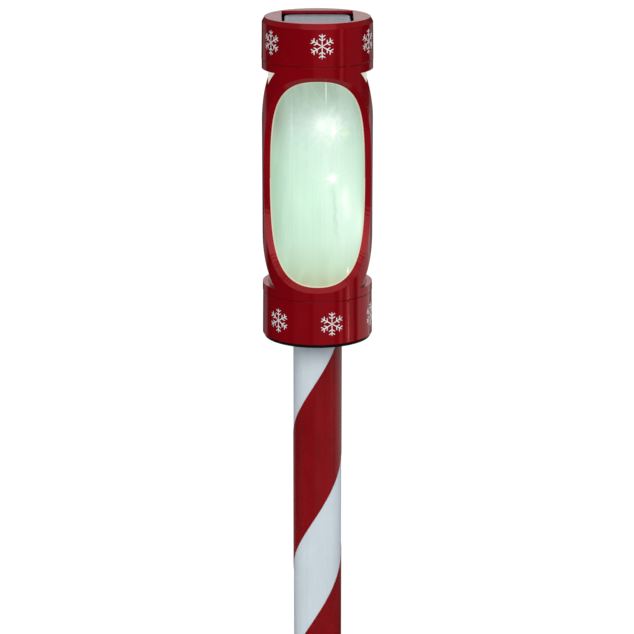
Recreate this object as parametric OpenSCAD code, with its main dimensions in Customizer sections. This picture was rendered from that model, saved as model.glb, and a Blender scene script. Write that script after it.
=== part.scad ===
// Solar bollard light: a round lantern head with a solar cap on a striped pole and a ground spike.
// Millimetres, +Z up, the front window faces -Y, and z = 0 is the underside of the ground flange.

/* [Head] */
// Outside diameter of the cage and its two collars
head_d = 75; // [68:0.5:90]
// Height of the solar cap
cap_h = 28.7; // [28:0.1:40]
// Height of the closed collar above the windows
upper_collar_h = 5.9; // [5:0.1:9]
// Height of the open part of the cage between the collars
open_h = 147.7; // [120:0.1:170]
// Height of the closed collar below the windows
lower_collar_h = 6; // [5:0.1:12]
// Height of the lower red band
band_h = 30; // [27:0.1:40]
// Height of the black rim that shows under the band
rim_h = 2.4; // [1.2:0.1:3]

/* [Cage] */
// Wall of the cage
cage_wall = 3.8; // [3:0.1:4.5]
// Half of a window's width, as an angle about the axis, on the outer face
window_half_angle = 75.4; // [66:0.2:76]
// Plain cage left above and below a window, on the outer face
window_margin = 0.6; // [0.3:0.1:3]
// How far the windows sit below the middle of the open part
window_drop = 0.5; // [0:0.1:0.5]
// How squarely a window is rounded: 2 is an ellipse, more is squarer
window_power = 2.35; // [2:0.05:3]
// How much the window's edge leans in from the outer face to the bore, as an angle
bevel_angle = 3.2; // [1:0.1:5]
// How much the window's edge leans in above and below
bevel_h = 3.1; // [1:0.1:4]
// Half of a side notch's width where it meets a collar
notch_half_w = 24.2; // [16:0.1:25]
// How deep a side notch reaches from its collar
notch_depth = 36.2; // [24:0.1:40]
// Radius of a notch's rounded tip
notch_tip_r = 1.4; // [1:0.1:2.5]
// How much a notch's sides curve: 1 is a straight V
notch_power = 1.25; // [1:0.05:1.6]

/* [Cap] */
// How far the cap's foot stands out past the cage
cap_step = 0.15; // [0:0.05:0.6]
// How much the cap narrows towards the top, on the radius
cap_draft = 0.35; // [0:0.05:1.2]
// Width of the bevel round the cap's top
cap_bevel_w = 1.8; // [1:0.05:4.2]
// Height of the bevel round the cap's top
cap_bevel_h = 3.3; // [2:0.1:5]
// Rounding of the shoulder between the cap's side and its bevel
cap_shoulder_round = 0.9; // [0.3:0.1:1.4]
// Rounding of the edge between the bevel and the flat top
cap_top_round = 0.3; // [0.1:0.1:0.6]
// Wall of the cap
cap_wall = 2.3; // [1.8:0.1:2.8]
// Side of the square well in the cap's top
well_side = 48.2; // [46:0.1:48.6]
// Depth of the well
well_depth = 2.2; // [1:0.1:3.5]
// Rounding of the well's corners
well_corner_r = 3; // [2.6:0.1:5]
// Floor under the solar panel
well_floor = 1.4; // [1:0.1:2]
// Length of the skirt that goes down inside the diffuser
skirt_h = 9.5; // [7:0.5:13]
// Wall of the skirt
skirt_wall = 1.3; // [1:0.1:1.6]

/* [Solar panel] */
// Side of the solar panel
panel_side = 44.6; // [40:0.1:45]
// Thickness of the solar panel
panel_t = 2; // [1.5:0.1:2.6]
// Rounding of the panel's corners
panel_corner_r = 3.7; // [2:0.1:5]
// Thickness of the adhesive pad under the panel
pad_t = 0.5; // [0.3:0.1:1]
// Width of the adhesive pad's frame
pad_w = 5; // [3:0.5:8]

/* [Diffuser] */
// Wall of the frosted tube
diffuser_wall = 1.3; // [1:0.1:1.6]
// Height of the sealing rings at the tube's two ends
seal_h = 1; // [0.8:0.1:1.5]
// Mean radius of the crinkled film inside the tube
film_r = 30.3; // [26:0.1:30.4]
// Depth of the film's crinkles each way
film_crinkle = 0.8; // [0.2:0.1:0.9]
// Thickness of the film
film_t = 0.3; // [0.2:0.1:0.5]

/* [Battery and electronics] */
// Diameter of the AAA cell
cell_d = 10.5; // [9.5:0.1:10.5]
// Length of the AAA cell, nub included
cell_l = 44.5; // [40:0.5:44.5]
// Distance from the head's axis to the cell's axis
cell_y = 9; // [8.6:0.1:9.2]
// Thickness of the tray
tray_t = 1.8; // [1.5:0.1:2.5]
// Wall of the battery box
box_wall = 1.2; // [1:0.1:1.4]
// Thickness of the battery cover
cover_t = 1.5; // [1:0.1:2]
// Width of the control board
board_w = 28; // [24:1:29]
// Depth of the control board, front to back
board_d = 17; // [15:0.5:18]
// Thickness of the control board and of the light mast
board_t = 1.2; // [0.8:0.1:1.6]
// Height of the posts under the control board
post_h = 4.6; // [4.4:0.1:6]
// Travel of the on and off switch
switch_travel = 2.5; // [1.5:0.1:3]
// Width of the light mast
mast_w = 8; // [6:0.5:10]
// Length of the light mast
mast_l = 110; // [90:1:120]
// Lights on each face of the mast
led_rows = 3; // [2:1:4]
// Distance from one light to the next
led_pitch = 23; // [14:1:26]
// Side of a light's square base
led_side = 5; // [3:0.5:5.5]
// Thickness of a wire
wire_d = 1.2; // [0.8:0.1:1.6]

/* [Base] */
// How far the lower band's top stands in from the cage
band_step = 0.2; // [0:0.1:1]
// How much the band narrows from its foot to its top, on the radius
band_draft = 0.3; // [0:0.1:1]
// Rounding of the outer edges where the band, the cage and the cap meet
seam_round = 0.35; // [0.1:0.05:0.6]
// Wall of the lower band
cup_wall = 2.3; // [1.8:0.1:2.6]
// Thickness of the band's inner deck
deck_t = 2.4; // [1.8:0.1:4]
// Length of the cage's tongue inside the band
tongue_h = 6; // [4:0.5:9]
// How far the black rim stands in from the band's foot
rim_step = 0.6; // [0.3:0.1:1.5]
// How much the black rim narrows towards its underside
rim_taper = 0.8; // [0:0.1:2]
// Thickness of the base plate inside the band
plate_t = 2.5; // [2:0.1:4]
// Depth of the socket that takes the pole
socket_depth = 26; // [20:0.5:28]
// Wall and roof of the pole socket
socket_wall = 2; // [1.5:0.1:3]

/* [Fasteners] */
// Radius of a screw's shank
screw_r = 1.2; // [1:0.05:1.5]
// Radius of a screw's head
screw_head_r = 2.3; // [2:0.1:2.6]
// Height of a screw's head
screw_head_h = 1.5; // [1:0.1:1.8]
// Length of a screw's shank
screw_l = 10; // [7:0.5:12]
// Wall of a screw boss round its pilot hole
boss_wall = 1.4; // [1:0.1:1.6]

/* [Pole] */
// Outside diameter of the pole with its stripe film
pole_d = 33.8; // [28:0.2:38]
// Wall of the pole tube
tube_wall = 1.5; // [1:0.1:2.5]
// Pole that shows between the ground flange and the head
pole_show = 485; // [360:1:700]
// Length of the sleeve that joins the two tubes
coupler_l = 80; // [50:2:120]
// Wall of the sleeve
coupler_wall = 2; // [1.5:0.1:3]
// Rise of the stripe in one turn
stripe_pitch = 172; // [120:1:240]
// Height of the red stripe, measured straight up the pole
stripe_h = 97.8; // [60:0.1:110]
// Distance from the head's underside down to the stripe's upper edge at the front
stripe_drop = 28.5; // [0:0.5:60]
// Thickness of the stripe film
stripe_t = 0.2; // [0.1:0.05:0.4]

/* [Spike] */
// Diameter of the ground flange
flange_d = 62; // [50:1:90]
// Thickness of the ground flange
flange_t = 5; // [3:0.5:8]
// Height of the hub round the foot of the pole
hub_h = 8; // [5:0.5:14]
// Wall of the hub
hub_wall = 2.4; // [1.8:0.1:4]
// Length of the spigot inside the pole
spigot_h = 45; // [30:1:70]
// Wall of the spigot
spigot_wall = 2; // [1.5:0.1:3]
// Length of the spike below ground
spike_l = 165; // [120:1:220]
// Width of the spike's fins at the flange
spike_w = 32; // [24:1:44]
// Thickness of a fin
fin_t = 3; // [2:0.1:5]
// Length of the spike's point
point_l = 55; // [30:1:80]

/* [Snowflakes] */
// Length of a snowflake's arm
flake_r = 8.6; // [6:0.1:9]
// Half of a snowflake's line width
flake_line = 0.42; // [0.3:0.02:0.6]
// Distance along an arm to its first pair of twigs
twig_1 = 3.4; // [2.4:0.1:4]
// Distance along an arm to its second pair of twigs
twig_2 = 5.6; // [4.8:0.1:6]
// Length of a twig
twig_l = 2.6; // [1.6:0.1:3]
// Thickness of the white print
print_t = 0.15; // [0.1:0.05:0.3]
// Snowflakes round each band
flake_count = 6; // [3:1:8]
// Turn of the cap's snowflakes from the front
cap_flake_turn = 4.6; // [-30:0.1:30]
// How far the cap's snowflakes sit above the middle of its side
cap_flake_lift = 1.7; // [-2:0.1:3]
// Turn of the lower band's snowflakes from the front
band_flake_turn = 14.2; // [-30:0.1:30]

/* [Fits] */
// Clearance of a sliding fit, on the radius
slide_fit = 0.1; // [0.05:0.01:0.1]
// Clearance of a fixed piece in its place
seat_gap = 0.2; // [0.1:0.05:0.3]
// Clearance between pieces that move past each other
move_gap = 0.4; // [0.3:0.05:0.5]
// Clearance between the cage and the diffuser
diffuser_gap = 0.5; // [0.3:0.1:0.6]

/* [Hidden] */

ROUND = 128;
THROUGH = 1;
ARC_STEPS = 4;

// Heights up the pole and the head
flange_top = flange_t;
hub_top = flange_top + hub_h;
head_z = flange_top + pole_show;
joint_z = flange_top + pole_show / 2;
band_z = head_z + rim_h;
lower_collar_z = band_z + band_h;
open_z = lower_collar_z + lower_collar_h;
open_mid_z = open_z + open_h / 2;
upper_collar_z = open_z + open_h;
cap_z = upper_collar_z + upper_collar_h;
cap_top_z = cap_z + cap_h;

// Pole radii
film_outer_r = pole_d / 2;
tube_r = film_outer_r - stripe_t - 0.05;
tube_bore_r = tube_r - tube_wall;
plug_r = tube_bore_r - slide_fit;
socket_r = tube_r + slide_fit;
socket_outer_r = socket_r + socket_wall;
hub_bore_r = film_outer_r + seat_gap;

// Head radii
cage_r = head_d / 2;
cage_bore_r = cage_r - cage_wall;
diffuser_r = cage_bore_r - diffuser_gap;
diffuser_bore_r = diffuser_r - diffuser_wall;
skirt_r = diffuser_bore_r - move_gap;
skirt_bore_r = skirt_r - skirt_wall;
tray_r = skirt_bore_r - seat_gap;
band_r = cage_r - band_step;
band_foot_r = band_r + band_draft;
rim_r = band_foot_r - rim_step;
cup_bore_r = band_r - cup_wall;
tongue_r = cup_bore_r - seat_gap;
cap_foot_r = cage_r + cap_step;
cap_shoulder_r = cap_foot_r - cap_draft;
cap_bore_r = cap_foot_r - cap_wall;
flat_top_r = cap_shoulder_r - cap_bevel_w;

// Heights inside the base
plate_top_z = band_z + plate_t;
deck_top_z = lower_collar_z - tongue_h - seat_gap;
deck_z = deck_top_z - deck_t;
diffuser_z = deck_top_z + seal_h;
diffuser_top_z = cap_z - seal_h - move_gap;
film_top_z = cap_z - skirt_h - 2;

// Heights inside the cap
cap_floor_t = 2;
well_floor_z = cap_top_z - well_depth;
pocket_z = well_floor_z - panel_t - pad_t;
ceiling_z = pocket_z - well_floor;
tray_z = cap_z;
tray_top_z = tray_z + tray_t;
cell_z = tray_top_z + 0.8 + cell_d / 2;
board_z = tray_top_z + post_h;
board_top_z = board_z + board_t;
board_y = -6 - board_d / 2;

// Battery box
contact_t = 0.4;
contact_w = 8;
contact_room = 1.2;
tab_w = 3;
box_half_l = cell_l / 2 + contact_room;
box_half_w = cell_d / 2 + 0.35;
box_top_z = cell_z + box_half_w;
tab_top_z = box_top_z + box_wall + 2.5;
cover_tab_y = cell_y + box_half_w + 3.6;
cover_tab_r = 3.2;
cover_lip = 1;

// Screw places, as angles about the head's axis
pilot_r = screw_r + 0.05;
screw_hole_r = screw_r + 0.4;
boss_r = pilot_r + boss_wall;
base_screw_at = (cup_bore_r + socket_outer_r) / 2;
base_screw_angles = [45, 135, 225, 315];
tray_screw_at = tray_r - boss_r - 0.6;
tray_screw_angles = [62, 118, 222, 318];

// Light mast
mast_slot_gap = 0.2;
mast_top_z = tray_top_z + 2;
mast_z = mast_top_z - mast_l;
mast_holder_h = 8;
mast_holder_w = mast_w + 5;
mast_holder_t = board_t + 2.6;
first_led_z = mast_z + 12;
led_base_t = 1;
led_dome_r = 1.9;

// Switch
switch_w = 9;
switch_d = 4;
lever_w = 3;
lever_d = 1.4;
switch_y = board_y - 1;
switch_h = post_h - 0.6;
lever_top_z = board_z - 1.2;
lever_tip_z = tray_z - 1.5;

// Board parts, each as place across, place back, size across, size back and height
chips = [[-7, 4, 6, 5, 1.7], [1, 4.5, 4, 4, 1.5], [6.5, -4.5, 3.2, 1.6, 0.9], [-2, -5, 3.2, 1.6, 0.9]];
coil_r = 3;
coil_h = 4;
coil_x = 8.5;
coil_y = 3.5;

// Wires, each as points given by hand
wire_sides = 8;
panel_wire_route = [[3, -11, pocket_z + pad_t], [3, -11, ceiling_z - 3], [6, -13, ceiling_z - 8],
    [4.5, -15, board_top_z + 5], [4, -15, board_top_z]];
battery_wire_route = [[box_half_l - contact_t / 2, cell_y - 1, tab_top_z],
    [box_half_l - 0.6, cell_y - 2, tab_top_z + 2.5], [box_half_l - 2, cell_y - 6, tab_top_z + 2.5],
    [board_w / 2 + 4, -2, board_top_z + 7], [board_w / 2 - 1, board_y - 3, board_top_z + 4],
    [board_w / 2 - 1.5, board_y - 4, board_top_z]];
mast_wire_route = [[mast_w / 2 - 1.5, 0, mast_top_z], [mast_w / 2 - 1.5, -0.3, mast_top_z + 3],
    [mast_w / 2 - 1.5, -2, board_top_z + 2.5], [mast_w / 2 - 1.5, -4.5, board_top_z + 4],
    [mast_w / 2 - 1.5, -7, board_top_z + 2.5], [mast_w / 2 - 1.5, -7.4, board_top_z]];

// Grid of the cage's windows, the stripe film and the crinkled film
window_steps = 144;
cutter_reach = 1.5;
stripe_step = 5;
stripe_tip = 0.5;
film_sides = 36;
film_rows = 18;

// A tube standing on z = 0
module tube(outer_r, inner_r, h) {
    difference() {
        cylinder(r = outer_r, h = h, $fn = ROUND);
        translate([0, 0, -THROUGH]) cylinder(r = inner_r, h = h + 2 * THROUGH, $fn = ROUND);
    }
}

// Points of a profile whose outer corners are rounded, with a radius for each point, 0 where it stays sharp
function rounded_profile(p, radii) = [for (i = [0 : len(p) - 1])
    let(n = len(p), a = p[(i + n - 1) % n] - p[i], b = p[(i + 1) % n] - p[i],
        u = a / norm(a), v = b / norm(b), half = acos(u * v) / 2, r = radii[i],
        middle = p[i] + r / sin(half) * (u + v) / norm(u + v),
        from = p[i] + r / tan(half) * u - middle, to = p[i] + r / tan(half) * v - middle)
    each (r == 0 ? [p[i]] : [for (k = [0 : ARC_STEPS])
        let(d = from * (1 - k / ARC_STEPS) + to * k / ARC_STEPS) middle + r * d / norm(d)])];

// A ring turned from a rounded profile
module turned(p, radii) rotate_extrude($fn = ROUND) polygon(rounded_profile(p, radii));

// A square with rounded corners, made of exact boxes and cylinders, standing on z = 0
module rounded_slab(side, corner_r, h) {
    reach = side / 2 - corner_r;
    translate([-side / 2, -reach, 0]) cube([side, 2 * reach, h]);
    translate([-reach, -side / 2, 0]) cube([2 * reach, side, h]);
    for (x = [-reach, reach], y = [-reach, reach])
        translate([x, y, 0]) cylinder(r = corner_r, h = h, $fn = 64);
}

// Places its children at a distance from the axis, at each angle
module at_angles(distance, angles) {
    for (angle = angles) rotate([0, 0, angle]) translate([distance, 0, 0]) children();
}

// A pan-head screw pointing up, the underside of its head at z = 0
module screw() {
    translate([0, 0, -screw_head_h]) cylinder(r = screw_head_r, h = screw_head_h, $fn = 32);
    cylinder(r = screw_r, h = screw_l, $fn = 32);
}

// Direction of a wire at one of its points, straight up or down at its two ends
function along(route, i) =
    let(a = route[max(i - 1, 0)], b = route[min(i + 1, len(route) - 1)], rise = b[2] - a[2])
    i == 0 || i == len(route) - 1 ? [0, 0, sign(rise)] : (b - a) / norm(b - a);

// A wire swept along its route, its first and last rings lying flat
module wire(route) {
    side_dir = [1, 0, 0];
    rings = [for (i = [0 : len(route) - 1])
        let(t = along(route, i), u = cross(t, cross(side_dir, t)), u1 = u / norm(u), v1 = cross(t, u1))
        for (k = [0 : wire_sides - 1])
            let(a = 360 * k / wire_sides)
            route[i] + wire_d / 2 * (cos(a) * u1 + sin(a) * v1)];
    last = wire_sides * (len(route) - 1);
    walls = [for (i = [0 : len(route) - 2], k = [0 : wire_sides - 1])
        let(a = i * wire_sides + k, b = i * wire_sides + (k + 1) % wire_sides)
        [a, b, b + wire_sides, a + wire_sides]];
    polyhedron(points = rings,
        faces = concat(walls, [[for (k = [wire_sides - 1 : -1 : 0]) k]],
            [[for (k = [0 : wire_sides - 1]) last + k]]));
}

// The same route on the other side of the head
function mirrored(route) = [for (p = route) [-p[0], p[1], p[2]]];

// A point of a window's outline: the angle about the axis and the height from the window's middle
function window_point(a, half_angle, half_h) = [
    half_angle * sign(cos(a)) * pow(abs(cos(a)), 2 / window_power),
    half_h * sign(sin(a)) * pow(abs(sin(a)), 2 / window_power)];

// A point at a radius, an angle from the front and a height
function round_point(r, angle, z) = [r * sin(angle), -r * cos(angle), z];

// Solid that cuts one front window, its bevelled edge ruled between two outlines
module window_cutter() {
    outer_r = cage_r + cutter_reach;
    inner_r = cage_bore_r - cutter_reach;
    lean = bevel_angle / cage_wall;
    rise = bevel_h / cage_wall;
    outer_angle = window_half_angle + lean * cutter_reach;
    outer_h = open_h / 2 - window_margin + rise * cutter_reach;
    inner_angle = window_half_angle - bevel_angle - lean * cutter_reach;
    inner_h = open_h / 2 - window_margin - bevel_h - rise * cutter_reach;
    n = window_steps;
    outer = [for (i = [0 : n - 1]) let(p = window_point(360 * i / n, outer_angle, outer_h))
        round_point(outer_r, p[0], p[1])];
    inner = [for (i = [0 : n - 1]) let(p = window_point(360 * i / n, inner_angle, inner_h))
        round_point(inner_r, p[0], p[1])];
    tip_out = [[0, -4 * cage_r, 0]];
    tip_in = [[0, 0, 0]];
    polyhedron(points = concat(outer, inner, tip_out, tip_in), faces = [for (i = [0 : n - 1])
        let(j = (i + 1) % n)
        each [[i, n + j, n + i], [i, j, n + j], [j, i, 2 * n], [n + i, n + j, 2 * n + 1]]]);
}

// Solid that cuts the pair of side notches under the upper collar, through both sides of the cage
module notch_cutter() {
    root_h = open_h / 2 - notch_depth - 2;
    span = open_h / 2 - root_h;
    tip_part = pow(notch_tip_r / notch_half_w, 1 / notch_power);
    steps = 12;
    side = [for (i = [0 : steps])
        let(part = tip_part + (1 - tip_part) * i / steps)
        [notch_half_w * pow(part, notch_power), root_h + span * part]];
    rotate([90, 0, 90]) translate([0, 0, -cage_r - THROUGH])
        linear_extrude(height = 2 * (cage_r + THROUGH)) {
            polygon(concat(side, [for (i = [steps : -1 : 0]) [-side[i][0], side[i][1]]]));
            translate([0, side[0][1]]) circle(r = notch_tip_r, $fn = 32);
        }
}

// Outline of one snowflake: six arms, each with two pairs of twigs
function twig(d) =
    let(angle = 57, w = flake_line)
    [[w, d + w * tan(angle / 2) * cos(angle) - w * sin(angle)],
    [twig_l * sin(angle) + w * cos(angle), d + twig_l * cos(angle) - w * sin(angle)],
    [twig_l * sin(angle) - w * cos(angle), d + twig_l * cos(angle) + w * sin(angle)],
    [w, d + w / tan(angle / 2) * cos(angle) + w * sin(angle)]];
function arm_side() = concat([[flake_line, flake_line * sqrt(3)]], twig(twig_1), twig(twig_2),
    [[flake_line, flake_r]]);
function arm() =
    let(right = arm_side(), n = len(right))
    concat(right, [for (i = [n - 1 : -1 : 1]) [-right[i][0], right[i][1]]]);
function flake() = [for (k = [0 : 5]) let(t = 60 * k) for (p = arm())
    [p[0] * cos(t) - p[1] * sin(t), p[0] * sin(t) + p[1] * cos(t)]];

// Prints a ring of snowflakes on a round wall, as a thin skin that follows it
module flakes_on(wall_r, slope, mid_z, turn) {
    lift = 0.02;
    half = flake_r + 1;
    intersection() {
        translate([0, 0, mid_z - half]) difference() {
            cylinder(r1 = wall_r + slope * half + lift + print_t,
                r2 = wall_r - slope * half + lift + print_t, h = 2 * half, $fn = ROUND);
            cylinder(r1 = wall_r + slope * half + lift, r2 = wall_r - slope * half + lift,
                h = 2 * half, $fn = ROUND);
        }
        for (k = [0 : flake_count - 1]) rotate([0, 0, turn + 360 * k / flake_count])
            translate([0, 0, mid_z]) rotate([90, 0, 0]) translate([0, 0, wall_r / 2])
                linear_extrude(height = wall_r) polygon(flake());
    }
}

// A stretch of the helical stripe film between two heights, cut flat at both
module stripe(z_from, z_to) {
    inner_r = (tube_r + 0.03) / cos(stripe_step / 2);
    outer_r = film_outer_r;
    top_at_front = head_z - stripe_drop;
    start = (z_from + stripe_tip - top_at_front) * 360 / stripe_pitch;
    end = (z_to - stripe_tip + stripe_h - top_at_front) * 360 / stripe_pitch;
    n = ceil((end - start) / stripe_step);
    rings = [for (i = [0 : n])
        let(t = start + (end - start) * i / n, top = top_at_front + stripe_pitch * t / 360,
            hi = min(top, z_to), lo = max(top - stripe_h, z_from))
        each [round_point(inner_r, t, lo), round_point(outer_r, t, lo),
            round_point(outer_r, t, hi), round_point(inner_r, t, hi)]];
    walls = [for (i = [0 : n - 1], k = [0 : 3])
        let(a = 4 * i + k, b = 4 * i + (k + 1) % 4)
        each [[a, b, b + 4], [a, b + 4, a + 4]]];
    polyhedron(points = rings,
        faces = concat(walls, [[3, 2, 1, 0]], [[4 * n, 4 * n + 1, 4 * n + 2, 4 * n + 3]]));
}

// Flange, spigot and crossed fins, moulded in one piece
module ground_spike() color("#1c1c1e") {
    difference() {
        union() {
            turned([[0, 0], [flange_d / 2, 0], [flange_d / 2, flange_top], [0, flange_top]],
                [0, flange_t / 5, flange_t * 0.4, 0]);
            turned([[hub_bore_r, 0], [hub_bore_r + hub_wall, 0], [hub_bore_r + hub_wall, hub_top],
                [hub_bore_r, hub_top]], [0, 0, hub_wall / 3, hub_wall / 6]);
            cylinder(r = plug_r, h = flange_top + spigot_h, $fn = ROUND);
        }
        translate([0, 0, 2])
            cylinder(r = plug_r - spigot_wall, h = flange_top + spigot_h, $fn = ROUND);
    }
    for (turn = [0, 90]) rotate([90, 0, turn]) translate([0, 0, -fin_t / 2])
        linear_extrude(height = fin_t) polygon([[-spike_w / 2, 0], [spike_w / 2, 0],
            [spike_w * 0.4, point_l - spike_l], [1, -spike_l], [-1, -spike_l],
            [-spike_w * 0.4, point_l - spike_l]]);
}

// White tube of the lower half of the pole
module lower_tube() color("#d5dde2")
    translate([0, 0, flange_top]) tube(tube_r, tube_bore_r, joint_z - flange_top);

module lower_stripe() color("#8c1020") stripe(hub_top + seat_gap, joint_z);

// Sleeve pressed into the lower tube, with the upper tube pushed over it
module pole_coupler() color("#d8d8d4")
    translate([0, 0, joint_z - coupler_l / 2]) tube(plug_r, plug_r - coupler_wall, coupler_l);

// White tube of the upper half of the pole, up to the roof of the head's socket
module upper_tube() color("#d5dde2")
    translate([0, 0, joint_z]) tube(tube_r, tube_bore_r, head_z + socket_depth - joint_z);

module upper_stripe() color("#8c1020") stripe(joint_z, head_z - seat_gap);

// Black plate that closes the base, with the socket for the pole
module base_plate() color("#18181a") difference() {
    union() {
        turned([[0, head_z], [rim_r - rim_taper, head_z], [rim_r, band_z], [0, band_z]],
            [0, rim_h / 4, 0, 0]);
        translate([0, 0, head_z]) cylinder(r = cup_bore_r - seat_gap, h = plate_top_z - head_z, $fn = ROUND);
        translate([0, 0, head_z])
            cylinder(r = socket_outer_r, h = socket_depth + socket_wall, $fn = ROUND);
    }
    translate([0, 0, head_z - THROUGH])
        cylinder(r = socket_r, h = socket_depth + THROUGH, $fn = ROUND);
    at_angles(base_screw_at, base_screw_angles) translate([0, 0, head_z - THROUGH]) {
        cylinder(r = screw_hole_r, h = rim_h + plate_t + 2 * THROUGH, $fn = 32);
        cylinder(r = screw_head_r + 0.4, h = THROUGH + screw_head_h + 0.3, $fn = 32);
    }
}

// Lower red band with its inner deck and the bosses under it
module base_cup() color("#8c1020") {
    turned([[cup_bore_r, band_z], [band_foot_r, band_z], [band_r, lower_collar_z],
        [cup_bore_r, lower_collar_z]], [0, seam_round, seam_round, 0]);
    difference() {
        union() {
            translate([0, 0, deck_z]) tube(cup_bore_r + cup_wall / 2, socket_outer_r + seat_gap, deck_t);
            at_angles(base_screw_at, base_screw_angles) translate([0, 0, plate_top_z])
                cylinder(r = boss_r, h = deck_z - plate_top_z + deck_t / 2, $fn = 32);
        }
        at_angles(base_screw_at, base_screw_angles) translate([0, 0, plate_top_z - THROUGH])
            cylinder(r = pilot_r, h = screw_l + THROUGH, $fn = 32);
    }
}

// Screws that hold the base plate under the band
module base_screws() color("#b8b8bc") at_angles(base_screw_at, base_screw_angles)
    translate([0, 0, head_z + screw_head_h + 0.3]) screw();

module band_snowflakes() color("#f4f4f2")
    flakes_on((band_r + band_foot_r) / 2, band_draft / band_h, band_z + band_h / 2, band_flake_turn);

// Soft ring under the foot of the diffuser
module diffuser_seal() color("#3a3a3c")
    translate([0, 0, deck_top_z]) tube(diffuser_r, diffuser_bore_r, seal_h);

// Frosted tube that glows
module diffuser() color("#c8f0dc")
    translate([0, 0, diffuser_z]) tube(diffuser_r, diffuser_bore_r, diffuser_top_z - diffuser_z);

// Depth of the film's crinkle, from -1 to 1, at an angle and a share of the height
function crinkle(a, v) =
    (sin(7 * a + 1300 * v) + sin(11 * a - 900 * v + 40) + sin(4 * a + 2100 * v)) / 3;

// Rolled sheet of crinkled clear film that breaks the lights up into stars
module crinkled_film() color("#e4f6ee") {
    n = film_sides;
    rows = film_rows;
    skin = [for (wall = [0, film_t], j = [0 : rows], i = [0 : n - 1])
        let(a = 360 * i / n, v = j / rows)
        round_point(film_r - wall + film_crinkle * crinkle(a, v), a,
            deck_top_z + v * (film_top_z - deck_top_z))];
    inside = n * (rows + 1);
    top = n * rows;
    outer_walls = [for (j = [0 : rows - 1], i = [0 : n - 1])
        let(a = j * n + i, b = j * n + (i + 1) % n) each [[a, b + n, b], [a, a + n, b + n]]];
    inner_walls = [for (f = outer_walls) [f[0] + inside, f[2] + inside, f[1] + inside]];
    rims = [for (i = [0 : n - 1])
        let(j = (i + 1) % n)
        each [[i, j, j + inside], [i, j + inside, i + inside],
            [top + j, top + i, top + i + inside], [top + j, top + i + inside, top + j + inside]]];
    polyhedron(points = skin, faces = concat(outer_walls, inner_walls, rims));
}

// Red cage with its two collars, two windows and four side notches
module cage() color("#8c1020") difference() {
    union() {
        turned([[cage_bore_r, lower_collar_z], [cage_r, lower_collar_z], [cage_r, cap_z],
            [cage_bore_r, cap_z]], [0, seam_round, seam_round, 0]);
        translate([0, 0, lower_collar_z - tongue_h]) tube(tongue_r, cage_bore_r, tongue_h + 2);
    }
    translate([0, 0, open_mid_z]) {
        for (turn = [0, 180]) rotate([0, 0, turn]) translate([0, 0, -window_drop]) window_cutter();
        notch_cutter();
        mirror([0, 0, 1]) notch_cutter();
    }
}

// Soft ring on the diffuser's upper end, under the cap
module cap_seal() color("#3a3a3c")
    translate([0, 0, diffuser_top_z]) tube(diffuser_r, diffuser_bore_r, seal_h);

// Red cap: side wall, bevelled top with its square well, foot and skirt
module cap_shell() color("#8c1020") {
    side_room_r = cap_shoulder_r - cap_wall;
    rib = well_side / 2 + cap_wall / 2;
    difference() {
        turned([[0, cap_z], [cap_foot_r, cap_z], [cap_shoulder_r, cap_top_z - cap_bevel_h],
            [flat_top_r, cap_top_z], [0, cap_top_z]], [0, seam_round, cap_shoulder_round, cap_top_round, 0]);
        translate([0, 0, cap_z - THROUGH])
            cylinder(r = skirt_bore_r, h = cap_h / 2, $fn = ROUND);
        translate([0, 0, cap_z + cap_floor_t]) cylinder(r1 = cap_bore_r, r2 = side_room_r,
            h = ceiling_z - cap_z - cap_floor_t, $fn = ROUND);
        difference() {
            translate([0, 0, ceiling_z - THROUGH])
                cylinder(r = flat_top_r - 0.6, h = cap_top_z - cap_wall - ceiling_z + THROUGH, $fn = ROUND);
            translate([-rib, -rib, ceiling_z - 2 * THROUGH]) cube([2 * rib, 2 * rib, cap_h]);
        }
        translate([0, 0, well_floor_z])
            rounded_slab(well_side, well_corner_r, well_depth + THROUGH);
        translate([0, 0, pocket_z])
            rounded_slab(panel_side + 2 * seat_gap, panel_corner_r + seat_gap, panel_t + pad_t + THROUGH);
        for (side = [-1, 1]) translate([side * 3, -11, ceiling_z - THROUGH])
            cylinder(r = wire_d / 2 + 0.5, h = well_floor + 2 * THROUGH, $fn = 32);
    }
    translate([0, 0, cap_z - skirt_h]) tube(skirt_r, skirt_bore_r, skirt_h + cap_floor_t / 2);
    difference() {
        at_angles(tray_screw_at, tray_screw_angles) translate([0, 0, tray_top_z])
            cylinder(r = boss_r, h = ceiling_z + well_floor / 2 - tray_top_z, $fn = 32);
        at_angles(tray_screw_at, tray_screw_angles) translate([0, 0, tray_top_z - THROUGH])
            cylinder(r = pilot_r, h = screw_l + THROUGH, $fn = 32);
    }
}

module cap_snowflakes() color("#f4f4f2") {
    mid_z = cap_z + (cap_h - cap_bevel_h) / 2 + cap_flake_lift;
    slope = cap_draft / (cap_h - cap_bevel_h);
    flakes_on(cap_foot_r - slope * (mid_z - cap_z), slope, mid_z, cap_flake_turn);
}

// Adhesive frame that holds the panel in its pocket
module panel_pad() color("#2a2a2c") translate([0, 0, pocket_z]) difference() {
    rounded_slab(panel_side, panel_corner_r, pad_t);
    translate([0, 0, -THROUGH])
        rounded_slab(panel_side - 2 * pad_w, panel_corner_r, pad_t + 2 * THROUGH);
}

module solar_panel() color("#6c7482")
    translate([0, 0, pocket_z + pad_t]) rounded_slab(panel_side, panel_corner_r, panel_t);

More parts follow.
